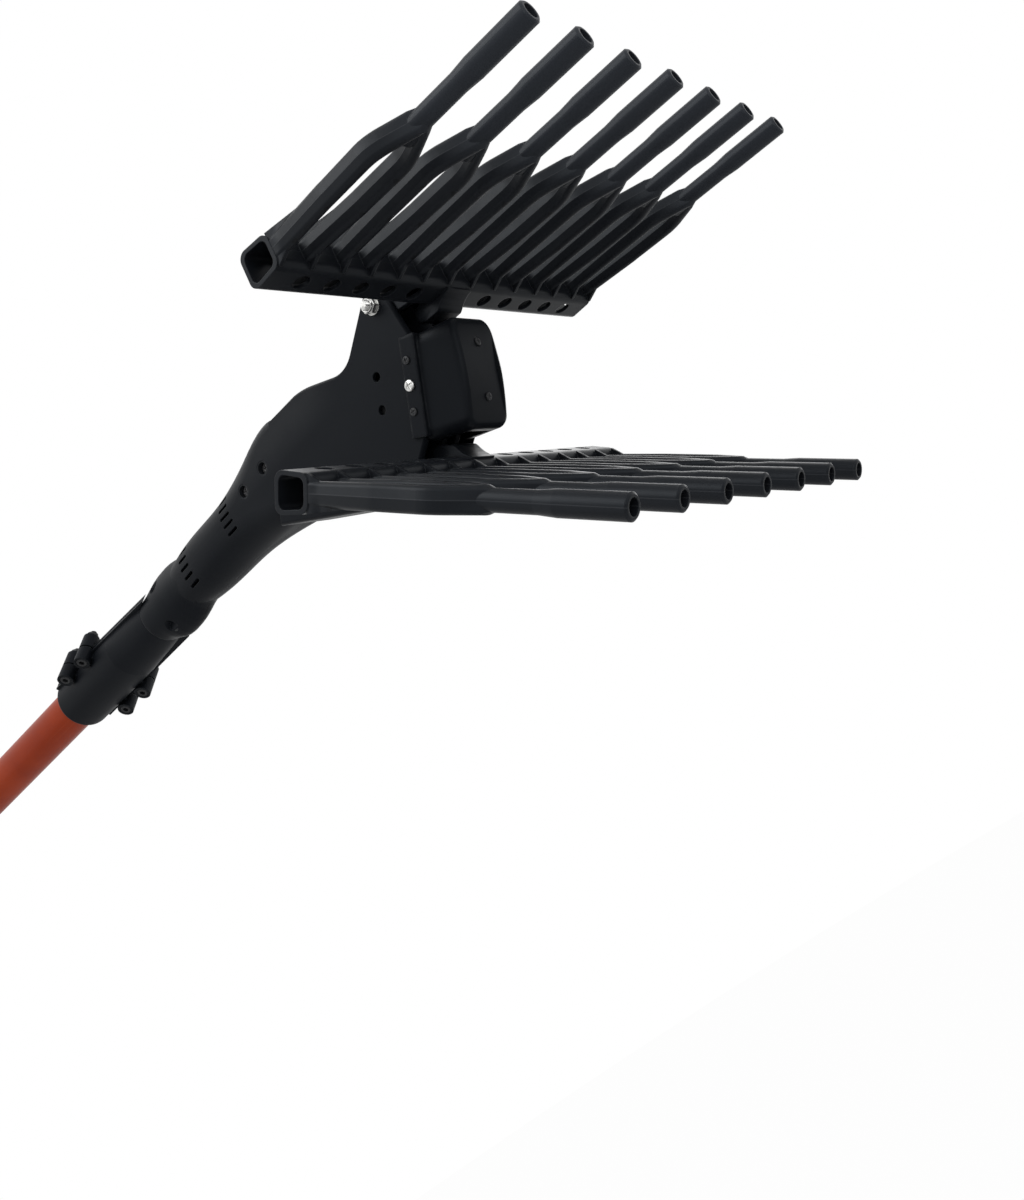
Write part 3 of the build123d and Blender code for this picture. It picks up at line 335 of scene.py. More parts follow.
def sprayedTube(name, s):
    finish = Finish(name, {"Coat Roughness": s["coatRough"], "Specular IOR Level": s["specular"]})
    rounded, edge = finish.softEdges(s["edge"])
    cloud = finish.noise(s["cloudScale"], 4.0).ramp(0.3, 0.7)
    streak = finish.noise(1.0, 3.0, finish.stretched(s["streaks"])).ramp(0.60, 0.74)
    scuff = streak * finish.noise(s["patchScale"], 3.0).ramp(0.48, 0.66)
    chip = edge * finish.noise(s["chipScale"], 2.0).ramp(0.52, 0.6)
    color = finish.blend(cloud, s["deep"], s["light"])
    color = finish.blend(scuff * 0.5, color, s["scuff"])
    color = finish.blend(chip, color, s["bare"])
    peel = finish.noise(s["peelScale"], 2.0)
    normal = finish.bump(peel - scuff * 0.6 - chip * 2.0, s["peelDeep"], 0.25, rounded)
    rough = 0.34 + 0.16 * scuff + 0.05 * cloud
    return finish.join(color=color, roughness=rough, normal=normal, coat=0.06 - 0.05 * scuff)


# soft grip: matte stippled rubber, dusty, polished where hands hold it
gripSet = {
    "base": (0.012, 0.012, 0.0125, 1), "dust": (0.034, 0.033, 0.031, 1), "dustScale": 60.0, "heldScale": 9.0,
    "specular": 0.28, "edge": 0.0008, "stippleScale": 900.0, "stippleDeep": 0.0001,
}


def gripRubber(name, s):
    finish = Finish(name, {"Specular IOR Level": s["specular"]})
    rounded, edge = finish.softEdges(s["edge"])
    dust = finish.noise(s["dustScale"], 5.0).ramp(0.48, 0.8)
    held = finish.noise(s["heldScale"], 2.0).ramp(0.4, 0.65)
    sockets = {"Vector": finish.place, "Scale": s["stippleScale"]}
    stipple = finish.node("ShaderNodeTexVoronoi", {"feature": "F1"}, sockets)
    color = finish.blend(dust * 0.6, s["base"], s["dust"])
    rough = 0.78 - 0.16 * held + 0.05 * dust
    normal = finish.bump(stipple, s["stippleDeep"], 0.35, rounded)
    return finish.join(color=color, roughness=rough, normal=normal)


# glossy red rocker, rubbed dull and pale by thumbs
rockerSet = {
    "base": (0.44, 0.018, 0.016, 1), "rubbed": (0.52, 0.035, 0.03, 1), "edgeColor": (0.6, 0.07, 0.06, 1),
    "specular": 0.5, "coatRough": 0.12, "edge": 0.0006, "rubScale": 260.0,
    "grainScale": 700.0, "grainDeep": 0.00004,
}


def rockerPlastic(name, s):
    finish = Finish(name, {"Coat Roughness": s["coatRough"], "Specular IOR Level": s["specular"]})
    rounded, edge = finish.softEdges(s["edge"])
    rub = finish.noise(s["rubScale"], 4.0).ramp(0.5, 0.75)
    color = finish.blend(rub * 0.5, s["base"], s["rubbed"])
    color = finish.blend(edge * 0.3, color, s["edgeColor"])
    normal = finish.bump(finish.noise(s["grainScale"], 2.0), s["grainDeep"], 0.2, rounded)
    return finish.join(color=color, roughness=0.24 + 0.14 * rub, normal=normal, coat=0.4 - 0.25 * rub)


# metals: base, stained and edge colour, how rough, how the tool marks run, and how metallic
metalSet = {
    "brightZinc": {
        "base": (0.60, 0.60, 0.585, 1), "dull": (0.40, 0.40, 0.39, 1), "edge": (0.72, 0.72, 0.71, 1),
        "rough": 0.27, "marks": (900, 900, 900), "metal": 1.0},
    "blackSteel": {
        "base": (0.010, 0.011, 0.013, 1), "dull": (0.017, 0.017, 0.018, 1), "edge": (0.09, 0.09, 0.095, 1),
        "rough": 0.46, "marks": (700, 700, 700), "metal": 0.35},
    "greyZinc": {
        "base": (0.10, 0.10, 0.105, 1), "dull": (0.06, 0.06, 0.062, 1), "edge": (0.20, 0.20, 0.20, 1),
        "rough": 0.42, "marks": (800, 800, 800), "metal": 0.6},
    "groundSteel": {
        "base": (0.44, 0.44, 0.45, 1), "dull": (0.33, 0.33, 0.34, 1), "edge": (0.58, 0.58, 0.58, 1),
        "rough": 0.30, "marks": (2400, 60, 2400), "metal": 1.0},
    "castAluminium": {
        "base": (0.47, 0.48, 0.49, 1), "dull": (0.34, 0.345, 0.35, 1), "edge": (0.6, 0.6, 0.61, 1),
        "rough": 0.46, "marks": (520, 520, 520), "metal": 1.0},
}
metalShared = {"edgeRadius": 0.0003, "stainScale": 240.0, "stains": (0.42, 0.72), "markDeep": 0.00004}


def metalFinish(name, s):
    finish = Finish(name, {"Metallic": s["metal"]})
    rounded, edge = finish.softEdges(s["edgeRadius"])
    stain = finish.noise(s["stainScale"], 5.0).ramp(*s["stains"])
    marks = finish.noise(1.0, 3.0, finish.stretched(s["marks"]))
    color = finish.blend(stain * 0.7, s["base"], s["dull"])
    color = finish.blend(edge * 0.7, color, s["edge"])
    rough = s["rough"] + 0.16 * (marks - 0.5) + 0.12 * stain
    normal = finish.bump(marks, s["markDeep"], 0.25, rounded)
    return finish.join(color=color, roughness=rough, normal=normal)


# milky nylon of the lock nuts
nylonSet = {
    "dark": (0.55, 0.56, 0.55, 1), "pale": (0.70, 0.70, 0.67, 1),
    "cloudScale": 500.0, "cloudDeep": 0.00003, "specular": 0.4,
}


def nylonRing(name, s):
    finish = Finish(name, {"Specular IOR Level": s["specular"]})
    cloud = finish.noise(s["cloudScale"], 3.0)
    color = finish.blend(cloud, s["dark"], s["pale"])
    normal = finish.bump(cloud, s["cloudDeep"], 0.2)
    return finish.join(color=color, roughness=0.42 + 0.1 * cloud, normal=normal)


finishes = {
    "housing": mouldedPlastic("housingPlastic", plasticSet, 0.43, (6, 12, 12), pillowed),
    "case": mouldedPlastic("casePlastic", plasticSet, 0.43, (6, 12, 12)),
    "collar": mouldedPlastic("collarPlastic", plasticSet, 0.43, (6, 12, 12), splitLine),
    "cover": mouldedPlastic("coverPlastic", dict(plasticSet, edge=0.0026), 0.36, (12, 12, 6)),
    "clamp": mouldedPlastic("clampPlastic", plasticSet, 0.46, (5, 16, 16)),
    "upperComb": combPlastic("upperCombPlastic", 1, combSet),
    "lowerComb": combPlastic("lowerCombPlastic", -1, combSet),
    "tube": sprayedTube("sprayedTube", tubeSet),
    "grip": gripRubber("gripRubber", gripSet),
    "rocker": rockerPlastic("rockerPlastic", rockerSet),
    "nylon": nylonRing("nylonRing", nylonSet),
}
for name, settings in metalSet.items():
    finishes[name] = metalFinish(name, dict(metalShared, **settings))

wearers = {
    "housing": ["housing_left", "housing_right"],
    "case": ["switch_housing_left", "switch_housing_right", "cooling_fan", "switch_contacts", "slide_bush"],
    "cover": ["crank_cover"],
    "clamp": ["clamp_half_outer", "clamp_half_inner", "lock_collar", "lock_lever", "butt_cap", "inlet_gland"],
    "upperComb": ["upper_comb"],
    "lowerComb": ["lower_comb"],
    "tube": ["lower_tube", "upper_tube"],
    "grip": ["grip_sleeve"],
    "rocker": ["rocker"],
    "brightZinc": ["flange_screws_bright", "pivot_bolts", "pivot_nuts", "pivot_washers"],
    # painted shade: the gearbox wears the black steel finish so that the cheek holes look dark; the other
    # parts listed here are black steel
    "blackSteel": ["clamp_bolts", "clamp_nuts", "housing_screws", "collar_screws", "switch_screws",
                   "flange_screws", "front_screws", "gearbox"],
    "groundSteel": ["motor", "crankshaft", "crank_roller", "crank_bearing", "motor_shaft", "rocker_pin",
                    "lock_pin", "upper_lever_pin", "lower_lever_pin", "upper_pivot_bush", "lower_pivot_bush"],
    "castAluminium": ["yoke"],
}
for key, names in wearers.items():
    for name in names:
        nodes[name].data.materials.clear()
        nodes[name].data.materials.append(finishes[key])
bare = set(nodes) - {name for names in wearers.values() for name in names}
print("finishes given, nodes left bare:", sorted(bare))


# Grids of points, (copies, rings, points of a ring, xyz), made one mesh: each ring is closed and
# joined to the next, and in a loop the last ring to the first. Edges past the sharp angle stay sharp
def ringPiece(name, points, sharp=32, loop=False, flip=False):
    copies, rows, cols = points.shape[:3]
    row, col = np.arange(rows if loop else rows - 1)[:, None], np.arange(cols)[None, :]
    below, after = (row + 1) % rows, (col + 1) % cols
    corners = (row * cols + col, below * cols + col, below * cols + after, row * cols + after)
    quads = np.stack(corners[::-1] if flip else corners, axis=-1).reshape(-1, 4)
    quads = quads[None] + np.arange(copies)[:, None, None] * rows * cols
    mesh = bpy.data.meshes.new(name)
    mesh.from_pydata(points.reshape(-1, 3).tolist(), [], quads.reshape(-1, 4).tolist())
    mesh.shade_smooth()
    mesh.set_sharp_from_angle(angle=np.radians(sharp))
    piece = bpy.data.objects.new(name, mesh)
    bpy.context.scene.collection.objects.link(piece)
    weld = piece.modifiers.new("closePoles", "WELD")  # the rings of no radius become one point
    weld.merge_threshold = 1e-6
    return piece


def dress(piece, finish, body, *replaced, slot=None):
    piece.data.materials.append(finishes[finish])
    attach(piece, body)
    if replaced:
        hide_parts(*replaced)


# A profile of (radius, height) rings carried round an axis at every spot. A hexagon can limit the
# radius, a drive recess lowers the top, and a helix ripples the thread:
# radius = min(ring, flats / 2 / cos(angle to the nearest flat)) - thread * (1 + cos(turns)) / 2
def turnedPiece(name, profile, spots, axes, s):
    ring, rise = np.array(profile, float).T
    angle = np.linspace(0, 2 * np.pi, s["sides"], endpoint=False)[None, :]
    radius = ring[:, None] + 0 * angle
    height = rise[:, None] + 0 * angle
    if "flats" in s:
        corner = (angle + np.pi / 6) % (np.pi / 3) - np.pi / 6
        inHex = (height >= 0) & (height <= s["rise"])
        radius = np.where(inHex, np.minimum(radius, s["flats"] / 2 / np.cos(corner)), radius)
    if "pitch" in s:
        turns = 2 * np.pi * height / s["pitch"] + angle
        cut = s["threadDepth"] * (1 + np.cos(turns)) / 2
        radius = np.where((height < s["threadFrom"]) & (radius > 0), radius - cut, radius)
    if "recess" in s:
        x, y = radius * np.cos(angle), radius * np.sin(angle)
        onTop = np.arange(len(ring))[:, None] < s["topRings"]
        height = height - np.where(onTop, s["deep"] * s["recess"](x, y, s), 0)
    axes = np.array(axes, float)
    first = np.where(np.abs(axes[:, :1]) > 0.5, [[0.0, 1.0, 0.0]], [[1.0, 0.0, 0.0]])
    first = first - axes * np.sum(first * axes, axis=1, keepdims=True)
    first = first / np.linalg.norm(first, axis=1, keepdims=True)
    turned = np.stack((first, np.cross(axes, first), axes), axis=1)
    local = np.stack((radius * np.cos(angle), radius * np.sin(angle), height), axis=-1)
    points = np.einsum("ijk,skl->sijl", local, turned) + np.array(spots, float)[:, None, None, :]
    return ringPiece(name, points, loop=s.get("loop", False))


# cross: two tapered bars, deepest in the middle
def crossRecess(x, y, s):
    near, far = np.minimum(abs(x), abs(y)), np.maximum(abs(x), abs(y))
    bars = edgeStep(s["bar"] / 2 - near, 0.0002) * edgeStep(s["reach"] - far, 0.0002)
    return bars * (1 - 0.6 * far / s["reach"])


# hexagon socket: how far each point lies inside the nearest flat
def hexRecess(x, y, s):
    turn = np.arange(3)[:, None, None] * np.pi / 3
    out = np.max(abs(x * np.cos(turn) + y * np.sin(turn)), axis=0)
    return edgeStep(s["socket"] / 2 - out, 0.00015)


# shank from under a head to its chamfered end
def shankProfile(s):
    end = -s["length"] - s["shank"] * 0.2
    rings = np.linspace(s.get("threadFrom", 0), -s["length"], s["shankRings"])
    return [(s["shank"], 0)] + [(s["shank"], z) for z in rings] + [(s["shank"] * 0.8, end), (0, end)]


# head with a domed top and rounded rim, then the shank
def screwProfile(s):
    top = np.linspace(0, s["head"] - s["rim"], s["topRings"])
    bend = np.linspace(0, np.pi / 2, 6)[1:]
    rimR = s["head"] - s["rim"] + s["rim"] * np.sin(bend)
    rimZ = s["rise"] - s["dome"] - s["rim"] * (1 - np.cos(bend))
    dome = s["rise"] - s["dome"] * (top / (s["head"] - s["rim"])) ** 2
    return list(zip(top, dome)) + list(zip(rimR, rimZ)) + [(s["head"], 0)] + shankProfile(s)


# crank cover: its top rises towards the front, and the front bows back above and below
coverSet = {
    "from": 27.0, "front": 61.0, "half": 34.0, "rise": 9.5, "riseFrom": 11.0,
    "bowAbove": 7.0, "bowBelow": 3.0, "bowFrom": 30.0,
}


def bendCover(points):
    s = coverSet
    along, up = (points - headAt) @ headAlong / mm, (points - headAt) @ headUp / mm
    forward = np.clip((along - s["from"]) / (s["front"] - s["from"]), 0, 1.2)
    rise = s["rise"] * forward * easeIn(up, s["riseFrom"], s["half"])
    bow = np.where(up > 0, s["bowAbove"], s["bowBelow"]) * np.clip(up / s["half"], -1, 1) ** 2
    bow = bow * easeIn(along, s["bowFrom"], s["front"])
    return points + (rise[:, None] * headUp - bow[:, None] * headAlong) * mm


# small cross-head screws of the cover: black and bright ones in its side flanges, and two in its front
coverScrewSet = {
    "head": 0.0027, "rise": 0.0013, "rim": 0.0005, "dome": 0.0003, "shank": 0.0016, "length": 0.0078,
    "topRings": 18, "shankRings": 3, "sides": 72,
    "recess": crossRecess, "deep": 0.0009, "bar": 0.0009, "reach": 0.0018,
    "along": 0.0233, "flange": 0.0284, "blackRows": (0.018, -0.0146), "brightRows": (0.002,),
    "front": 0.061, "frontRows": (0.020, -0.012), "frontTilts": (0.24, -0.06),
    "brightHead": {"head": 0.0038, "rise": 0.0021, "rim": 0.0008, "dome": 0.0005,
                   "deep": 0.0014, "bar": 0.0011, "reach": 0.0025},
    "frontHead": {"length": 0.0044, "rise": 0.0011, "rim": 0.0004, "dome": 0.0002, "deep": 0.0008},
}


def flangeScrews(name, rows, finish, node, s):
    spots = [onHead(s["along"], side * s["flange"], up) for up in rows for side in (-1, 1)]
    axes = [side * sideways for up in rows for side in (-1, 1)]
    dress(turnedPiece(name, screwProfile(s), spots, axes, s), finish, "head", node)


def frontScrews(s):
    spots = bendCover(np.array([onHead(s["front"], 0, up) for up in s["frontRows"]]))
    axes = [headAlong + tilt * headUp for tilt in s["frontTilts"]]
    axes = [axis / np.linalg.norm(axis) for axis in axes]
    piece = turnedPiece("coverFrontScrews", screwProfile(s), spots, axes, s)
    dress(piece, "blackSteel", "head", "front_screws")


brightSet = dict(coverScrewSet, **coverScrewSet["brightHead"])
flangeScrews("coverScrews", coverScrewSet["blackRows"], "blackSteel", "flange_screws", coverScrewSet)
flangeScrews("coverScrewsBright", brightSet["brightRows"], "brightZinc", "flange_screws_bright", brightSet)
frontScrews(dict(coverScrewSet, **coverScrewSet["frontHead"]))

# M4 cross-head screws of the neck, the collar and the switch housing, sunk from the right
caseScrewSet = {
    "head": 0.004, "rim": 0.0008, "dome": 0.0005, "shank": 0.002,
    "topRings": 20, "shankRings": 3, "sides": 72,
    "recess": crossRecess, "deep": 0.0016, "bar": 0.0012, "reach": 0.0026,
}
caseScrewPlaces = {
    "neckScrews": {"spots": ((1.2256, -0.013, 0.010), (1.2517, -0.013, 0.0116)), "rise": 0.0100,
                   "length": 0.0256, "finish": "greyZinc", "body": "head", "node": "housing_screws"},
    "collarScrews": {"spots": ((1.085, -0.009, 0.0178), (1.085, -0.009, -0.0178)), "rise": 0.0024,
                     "length": 0.0176, "finish": "blackSteel", "body": "head", "node": "collar_screws"},
    "switchScrews": {"spots": ((0.345, -0.015, 0.033), (0.437, -0.015, 0.033)), "rise": 0.003,
                     "length": 0.0296, "finish": "blackSteel", "body": "handle", "node": "switch_screws"},
}
for name, place in caseScrewPlaces.items():
    settings = dict(caseScrewSet, **place)
    piece = turnedPiece(name, screwProfile(settings), place["spots"], [-sideways] * 2, settings)
    dress(piece, place["finish"], place["body"], place["node"])
print("cross-head screws set")

# M5 socket screws of the pole clamp, with threaded ends, and their nuts
clampScrewSet = {
    "head": 0.00425, "rise": 0.005, "rim": 0.0005, "dome": 0.0, "shank": 0.0025, "length": 0.0270,
    "topRings": 24, "shankRings": 190, "sides": 72,
    "recess": hexRecess, "deep": 0.0026, "socket": 0.004,
    "pitch": 0.0008, "threadDepth": 0.00045, "threadFrom": -0.013,
    "along": (0.031, 0.059), "spread": 0.0273, "seat": -0.008, "nutSeat": 0.013,
}


def clampSpots(seat, s):
    return [clampRim + (x, 0, 0) + side * s["spread"] * clampAcross + seat * clampThrough
            for x in s["along"] for side in (-1, 1)]


def clampScrews(s):
    piece = turnedPiece("clampScrews", screwProfile(s), clampSpots(s["seat"], s), [-clampThrough] * 4, s)
    dress(piece, "blackSteel", "head", "clamp_bolts")


clampScrews(clampScrewSet)

# hexagons with their corners turned off at 30 degrees, as a head or as a nut round a bore; the pivot's
# lock nuts have a rolled lip that holds a nylon ring
hexSet = {
    "pivotBolts": {"flats": 0.010, "rise": 0.0042, "shank": 0.003, "length": 0.0618, "pitch": 0.001,
                   "threadDepth": 0.00055, "threadFrom": -0.046, "shankRings": 150, "sides": 72},
    "pivotNuts": {"flats": 0.010, "rise": 0.0041, "bore": 0.00303, "sides": 72, "loop": True,
                  "lip": ((0.00372, 0.0049), (0.00372, 0.0052), (0.0039, 0.00545), (0.0042, 0.0055),
                          (0.0045, 0.0053), (0.0047, 0.0048))},
    "nutRings": {"bore": 0.00302, "outer": 0.00375, "rise": 0.0050, "foot": 0.0044,
                 "sides": 60, "loop": True},
    "clampNuts": {"flats": 0.008, "rise": 0.004, "bore": 0.00253, "sides": 72, "loop": True,
                  "lip": ((0.0031, 0.004),)},
    "washerFace": 0.0272, "turnedFrom": 0.475, "turnedAngle": 30.0, "footChamfer": 0.0006,
}


# from the turned-off corners down to the chamfered foot; the corner ring lies just outside the hexagon
def hexSide(s):
    corner = s["flats"] / 2 / np.cos(np.pi / 6) + 0.0002
    turned = np.linspace(s["flats"] * hexSet["turnedFrom"], corner, 9)
    fall = s["rise"] - (turned - turned[0]) * np.tan(np.radians(hexSet["turnedAngle"]))
    return list(zip(turned, fall)) + [(corner, hexSet["footChamfer"]), (s["flats"] / 2, 0.0)]


def boltProfile(s):
    return [(0, s["rise"]), (s["flats"] * 0.3, s["rise"])] + hexSide(s) + shankProfile(s)


def nutProfile(s):
    top = [(s["bore"], s["lip"][0][1] - 0.0002)] + list(s["lip"])
    return top + hexSide(s) + [(s["bore"], 0)]


def ringProfile(s):
    top = [(s["bore"], s["rise"] - 0.0002), (s["bore"] + 0.0003, s["rise"]), (s["outer"], s["rise"] - 0.0002)]
    return top + [(s["outer"], s["foot"]), (s["bore"], s["foot"])]


# on both pivots, from the left (side 1) or the right (side -1)
def pivotPiece(name, profile, side):
    spots = [combAxes(level)[0] + side * hexSet["washerFace"] * sideways for level in (1, -1)]
    return turnedPiece(name, profile(hexSet[name]), spots, [side * sideways] * 2, hexSet[name])


def clampNuts(s):
    spots = clampSpots(clampScrewSet["nutSeat"], clampScrewSet)
    piece = turnedPiece("clampNuts", nutProfile(s), spots, [clampThrough] * 4, s)
    dress(piece, "blackSteel", "head", "clamp_nuts")


dress(pivotPiece("pivotBolts", boltProfile, 1), "brightZinc", "head", "pivot_bolts")
dress(pivotPiece("pivotNuts", nutProfile, -1), "brightZinc", "head", "pivot_nuts")
dress(pivotPiece("nutRings", ringProfile, -1), "nylon", "head", slot="black_plastic")
clampNuts(hexSet["clampNuts"])
print("bolts and nuts set")


# A merged copy of a node with its points bent by a formula. The normals follow: the bend is felt a
# little to each side of a point, and the normal is turned by the cofactors of these three steps
def bentCopy(name, node, bend, body):
    mesh = nodes[node].data.copy()
    mesh.name = name
    points = np.empty(len(mesh.vertices) * 3)
    mesh.vertices.foreach_get("co", points)
    corners = np.empty(len(mesh.loops), int)
    mesh.loops.foreach_get("vertex_index", corners)
    normals = np.empty(len(mesh.loops) * 3)
    mesh.corner_normals.foreach_get("vector", normals)
    points = points.reshape(-1, 3)
    cells = np.round(points * 1e6)  # points within a micrometre are one
    first, merged = np.unique(cells, axis=0, return_index=True, return_inverse=True)[1:]
    points = points[first]
    faces = merged.ravel()[corners].reshape(-1, 3)
    whole = np.all(faces != np.roll(faces, 1, axis=1), axis=1)
    faces, normals = faces[whole], normals.reshape(-1, 3, 3)[whole].reshape(-1, 3)
    step = 2e-5
    felt = [(bend(points + way) - bend(points - way)) / (2 * step) for way in step * np.eye(3)]
    a, b, c = (way[faces.ravel()] for way in felt)
    turned = normals[:, :1] * np.cross(b, c) + normals[:, 1:2] * np.cross(c, a)
    turned = turned + normals[:, 2:] * np.cross(a, b)
    size = np.linalg.norm(turned, axis=1, keepdims=True)
    normals = np.where(size > 0.05, turned / np.maximum(size, 1e-9), normals)
    mesh.clear_geometry()
    mesh.from_pydata(bend(points).tolist(), [], faces.tolist())
    mesh.shade_smooth()
    mesh.normals_split_custom_set(normals)
    mesh.update()
    piece = bpy.data.objects.new(name, mesh)
    bpy.context.scene.collection.objects.link(piece)
    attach(piece, body)
    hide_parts(node)


# combs: the legs grow deeper between the bar and the fork and stand wider just before it, so that the
# shoulder is full, and past the fork the fingers grow thicker round their own axes
tineSet = {
    "legsFrom": (52.0, 68.0), "fork": (134.0, 154.0), "deeper": 0.12, "thicker": 0.12,
    "shoulderFrom": (100.0, 136.0), "shoulderTo": (140.0, 157.0), "wider": 0.20,
}


def bendComb(level):
    pivot, forward, inward = combAxes(level)

    def bend(points):
        s, pitch = tineSet, combSet["pitch"]
        reach = (points - pivot) @ forward / mm
        depth = (points - pivot) @ inward - combSet["inward"]
        aside = (points[:, 1] + pitch / 2) % pitch - pitch / 2
        finger = easeIn(reach, *s["fork"])
        legs = easeIn(reach, *s["legsFrom"]) * (1 - finger)
        shoulder = easeIn(reach, *s["shoulderFrom"]) * (1 - easeIn(reach, *s["shoulderTo"]))
        deeper = depth * (s["deeper"] * legs + s["thicker"] * finger)
        wider = aside * (s["thicker"] * finger + s["wider"] * shoulder)
        return points + deeper[:, None] * inward + wider[:, None] * sideways
    return bend


# web between a comb's hub and its bar: an outline in the comb's side view carried across the middle,
# drawn in a little at both ends; the two end rings close on one point each
webSet = {
    "outline": ((24, 12), (40, 13), (47.5, 15), (48.0, 18.6), (44.5, 19.3), (40.5, 21.0), (37.0, 23.2),
                (34.8, 25.0), (33.2, 25.9), (27, 26.1), (21, 25.8), (16, 23), (16, 16), (24, 12)),
    "points": 96, "half": 12.0, "across": (-1, -1, -0.96, -0.86, 0.86, 0.96, 1, 1),
    "share": (0.0, 0.90, 0.97, 1.0, 1.0, 0.97, 0.90, 0.0), "sharp": 40,
}


def hubWeb(name, level, s, finish, body):
    pivot, forward, inward = combAxes(level)
    corners = np.array(s["outline"], float)
    run = np.linspace(0, len(corners) - 1, s["points"], endpoint=False)
    outline = np.stack([np.interp(run, np.arange(len(corners)), corners[:, i]) for i in (0, 1)], axis=1)
    middle = outline.mean(axis=0)
    flat = middle + np.array(s["share"])[:, None, None] * (outline - middle)[None]
    across = np.array(s["across"])[:, None, None] * s["half"]
    points = pivot + (flat[..., :1] * forward + flat[..., 1:] * inward + across * sideways) * mm
    piece = ringPiece(name, points[None], s["sharp"], flip=level > 0)
    dress(piece, finish, body, slot="black_plastic")


# collar where the neck takes the clamp's spigot: sections carried along the pole, an ellipse with a
# lobe above and below, z = middle + (high + lobe * exp(-(angle from upright / spread)^2)) * sin(angle),
# with round pockets sunk to the two screws on the right; the last section joins the first inside
collarSet = {
    "along": (133.6, 134.4, 137, 141, 146, 151, 157, 166, 172, 178, 183, 188, 192, 196),
    "high": (19.2, 20.2, 20.4, 20.5, 20.7, 20.8, 20.8, 20.7, 20.6, 20.6, 20.75, 21.1, 21.4, 21.65),
    "wide": (19.2, 20.2, 20.4, 20.5, 20.5, 20.5, 20.5, 20.4, 20.35, 20.3, 20.4, 20.65, 20.9, 21.1),
    "lobe": (0.0, 0.0, 0.3, 1.4, 3.6, 5.4, 6.3, 6.4, 5.8, 4.2, 2.0, 0.5, 0.0, 0.0),
    "middle": (0.0, 0.0, 0.0, 0.0, 0.0, 0.1, 0.3, 0.7, 1.0, 1.4, 1.7, 2.0, 2.05, 2.1),
    "spread": 0.88, "stations": 170, "sides": 320, "soften": 9, "inside": 15.0, "sharp": 38,
    "screwAt": 155.0, "screwRise": 17.8, "pocket": 4.6, "pocketEdge": 0.5, "pocketFloor": -11.6,
}


def collarShell(s):
    x = np.linspace(s["along"][0], s["along"][-1], s["stations"])[:, None]
    angle = np.linspace(0, 2 * np.pi, s["sides"], endpoint=False)[None, :]
    window = np.hanning(s["soften"] + 2)[1:-1]

    def smooth(key):
        steps = np.pad(np.interp(x[:, 0], s["along"], s[key]), s["soften"] // 2, mode="edge")
        return np.convolve(steps, window / window.sum(), "valid")[:, None]

    upright = np.arccos(np.clip(abs(np.sin(angle)), 0, 1))
    high = smooth("high") + smooth("lobe") * np.exp(-(upright / s["spread"]) ** 2)
    y, z = smooth("wide") * np.cos(angle), smooth("middle") + high * np.sin(angle)
    far = np.hypot(x - s["screwAt"], abs(z) - s["screwRise"])
    sunk = edgeStep(s["pocket"] - far, s["pocketEdge"]) * (y < s["pocketFloor"])
    y = y + sunk * (s["pocketFloor"] - y)
    rings = np.stack((x + 0 * y, y, z), axis=-1)
    inner = s["inside"] * np.stack((np.cos(angle), np.sin(angle)), axis=-1)
    ends = [np.concatenate((np.full((1, s["sides"], 1), at), inner), axis=-1) for at in (x[0, 0], x[-1, 0])]
    points = clampRim + np.concatenate((ends[0], rings, ends[1]), axis=0) * mm
    piece = ringPiece("collarShell", points[None], s["sharp"], loop=True, flip=True)
    dress(piece, "collar", "head", slot="black_plastic")


# housing halves: the flat ears are drawn in under the collar, the neck's end swells to the collar's
# width, where the neck runs into the cheeks its sides swell to the cheeks' width, and the cheeks'
# rear corner comes down to the neck
neckSet = {
    "ears": (126.5, 181.0), "under": 0.94, "squeeze": 0.04,
    "swellTo": 196.0, "swellFrom": 262.0, "tall": 0.10, "broad": 0.025, "middle": 2.0,
    "sideFrom": 285.0, "sideTo": 314.0, "side": 25.6, "cheek": 26.0, "sideShare": 0.8,
    "cornerFrom": 96.0, "cornerTo": 110.0, "cornerEnd": 114.0, "cornerBase": 0.8, "cornerDrop": 0.92,
}


def bendHousing(points):
    s, collar = neckSet, collarSet
    along, y, z = ((points - clampRim) / mm).T
    end = 1 - easeIn(along, s["swellTo"], s["swellFrom"])
    y = y * (1 + s["broad"] * end)
    z = s["middle"] + (z - s["middle"]) * (1 + s["tall"] * end)
    wide, high = (s["under"] * np.interp(along, collar["along"], collar[key]) for key in ("wide", "high"))
    out = np.hypot(y / wide, z / high)
    ears = (along > s["ears"][0]) & (along < s["ears"][1]) & (out > 1)
    drawn = np.where(ears, (1 + s["squeeze"] * (out - 1)) / np.maximum(out, 1e-6), 1.0)
    y, z = y * drawn, z * drawn
    cheek = 1 + (s["cheek"] / s["side"] - 1) * easeIn(along, s["sideFrom"], s["sideTo"])
    side = np.sign(y) * np.minimum(abs(y) * cheek, s["cheek"])
    y = np.where(abs(y) > s["sideShare"] * s["side"], side, y)
    bent = np.stack((points[:, 0], y * mm, z * mm), axis=1)
    back, up = (headAt - bent) @ headAlong / mm, (bent - headAt) @ headUp / mm
    drop = s["cornerDrop"] * np.maximum(up - s["cornerBase"], 0) * (back < s["cornerEnd"])
    drop = drop * easeIn(back, s["cornerFrom"], s["cornerTo"])
    return bent - drop[:, None] * headUp * mm


# clamp halves: the end under the collar drawn on along the pole, and the upper flange further, as a tongue
clampEndSet = {
    "from": 88.0, "to": 118.0, "end": 130.0, "longer": 8.0,
    "flange": (19.6, 21.6), "tongue": 13.0, "taper": 0.09, "taperFrom": 104.0, "taperTo": 124.0,
}


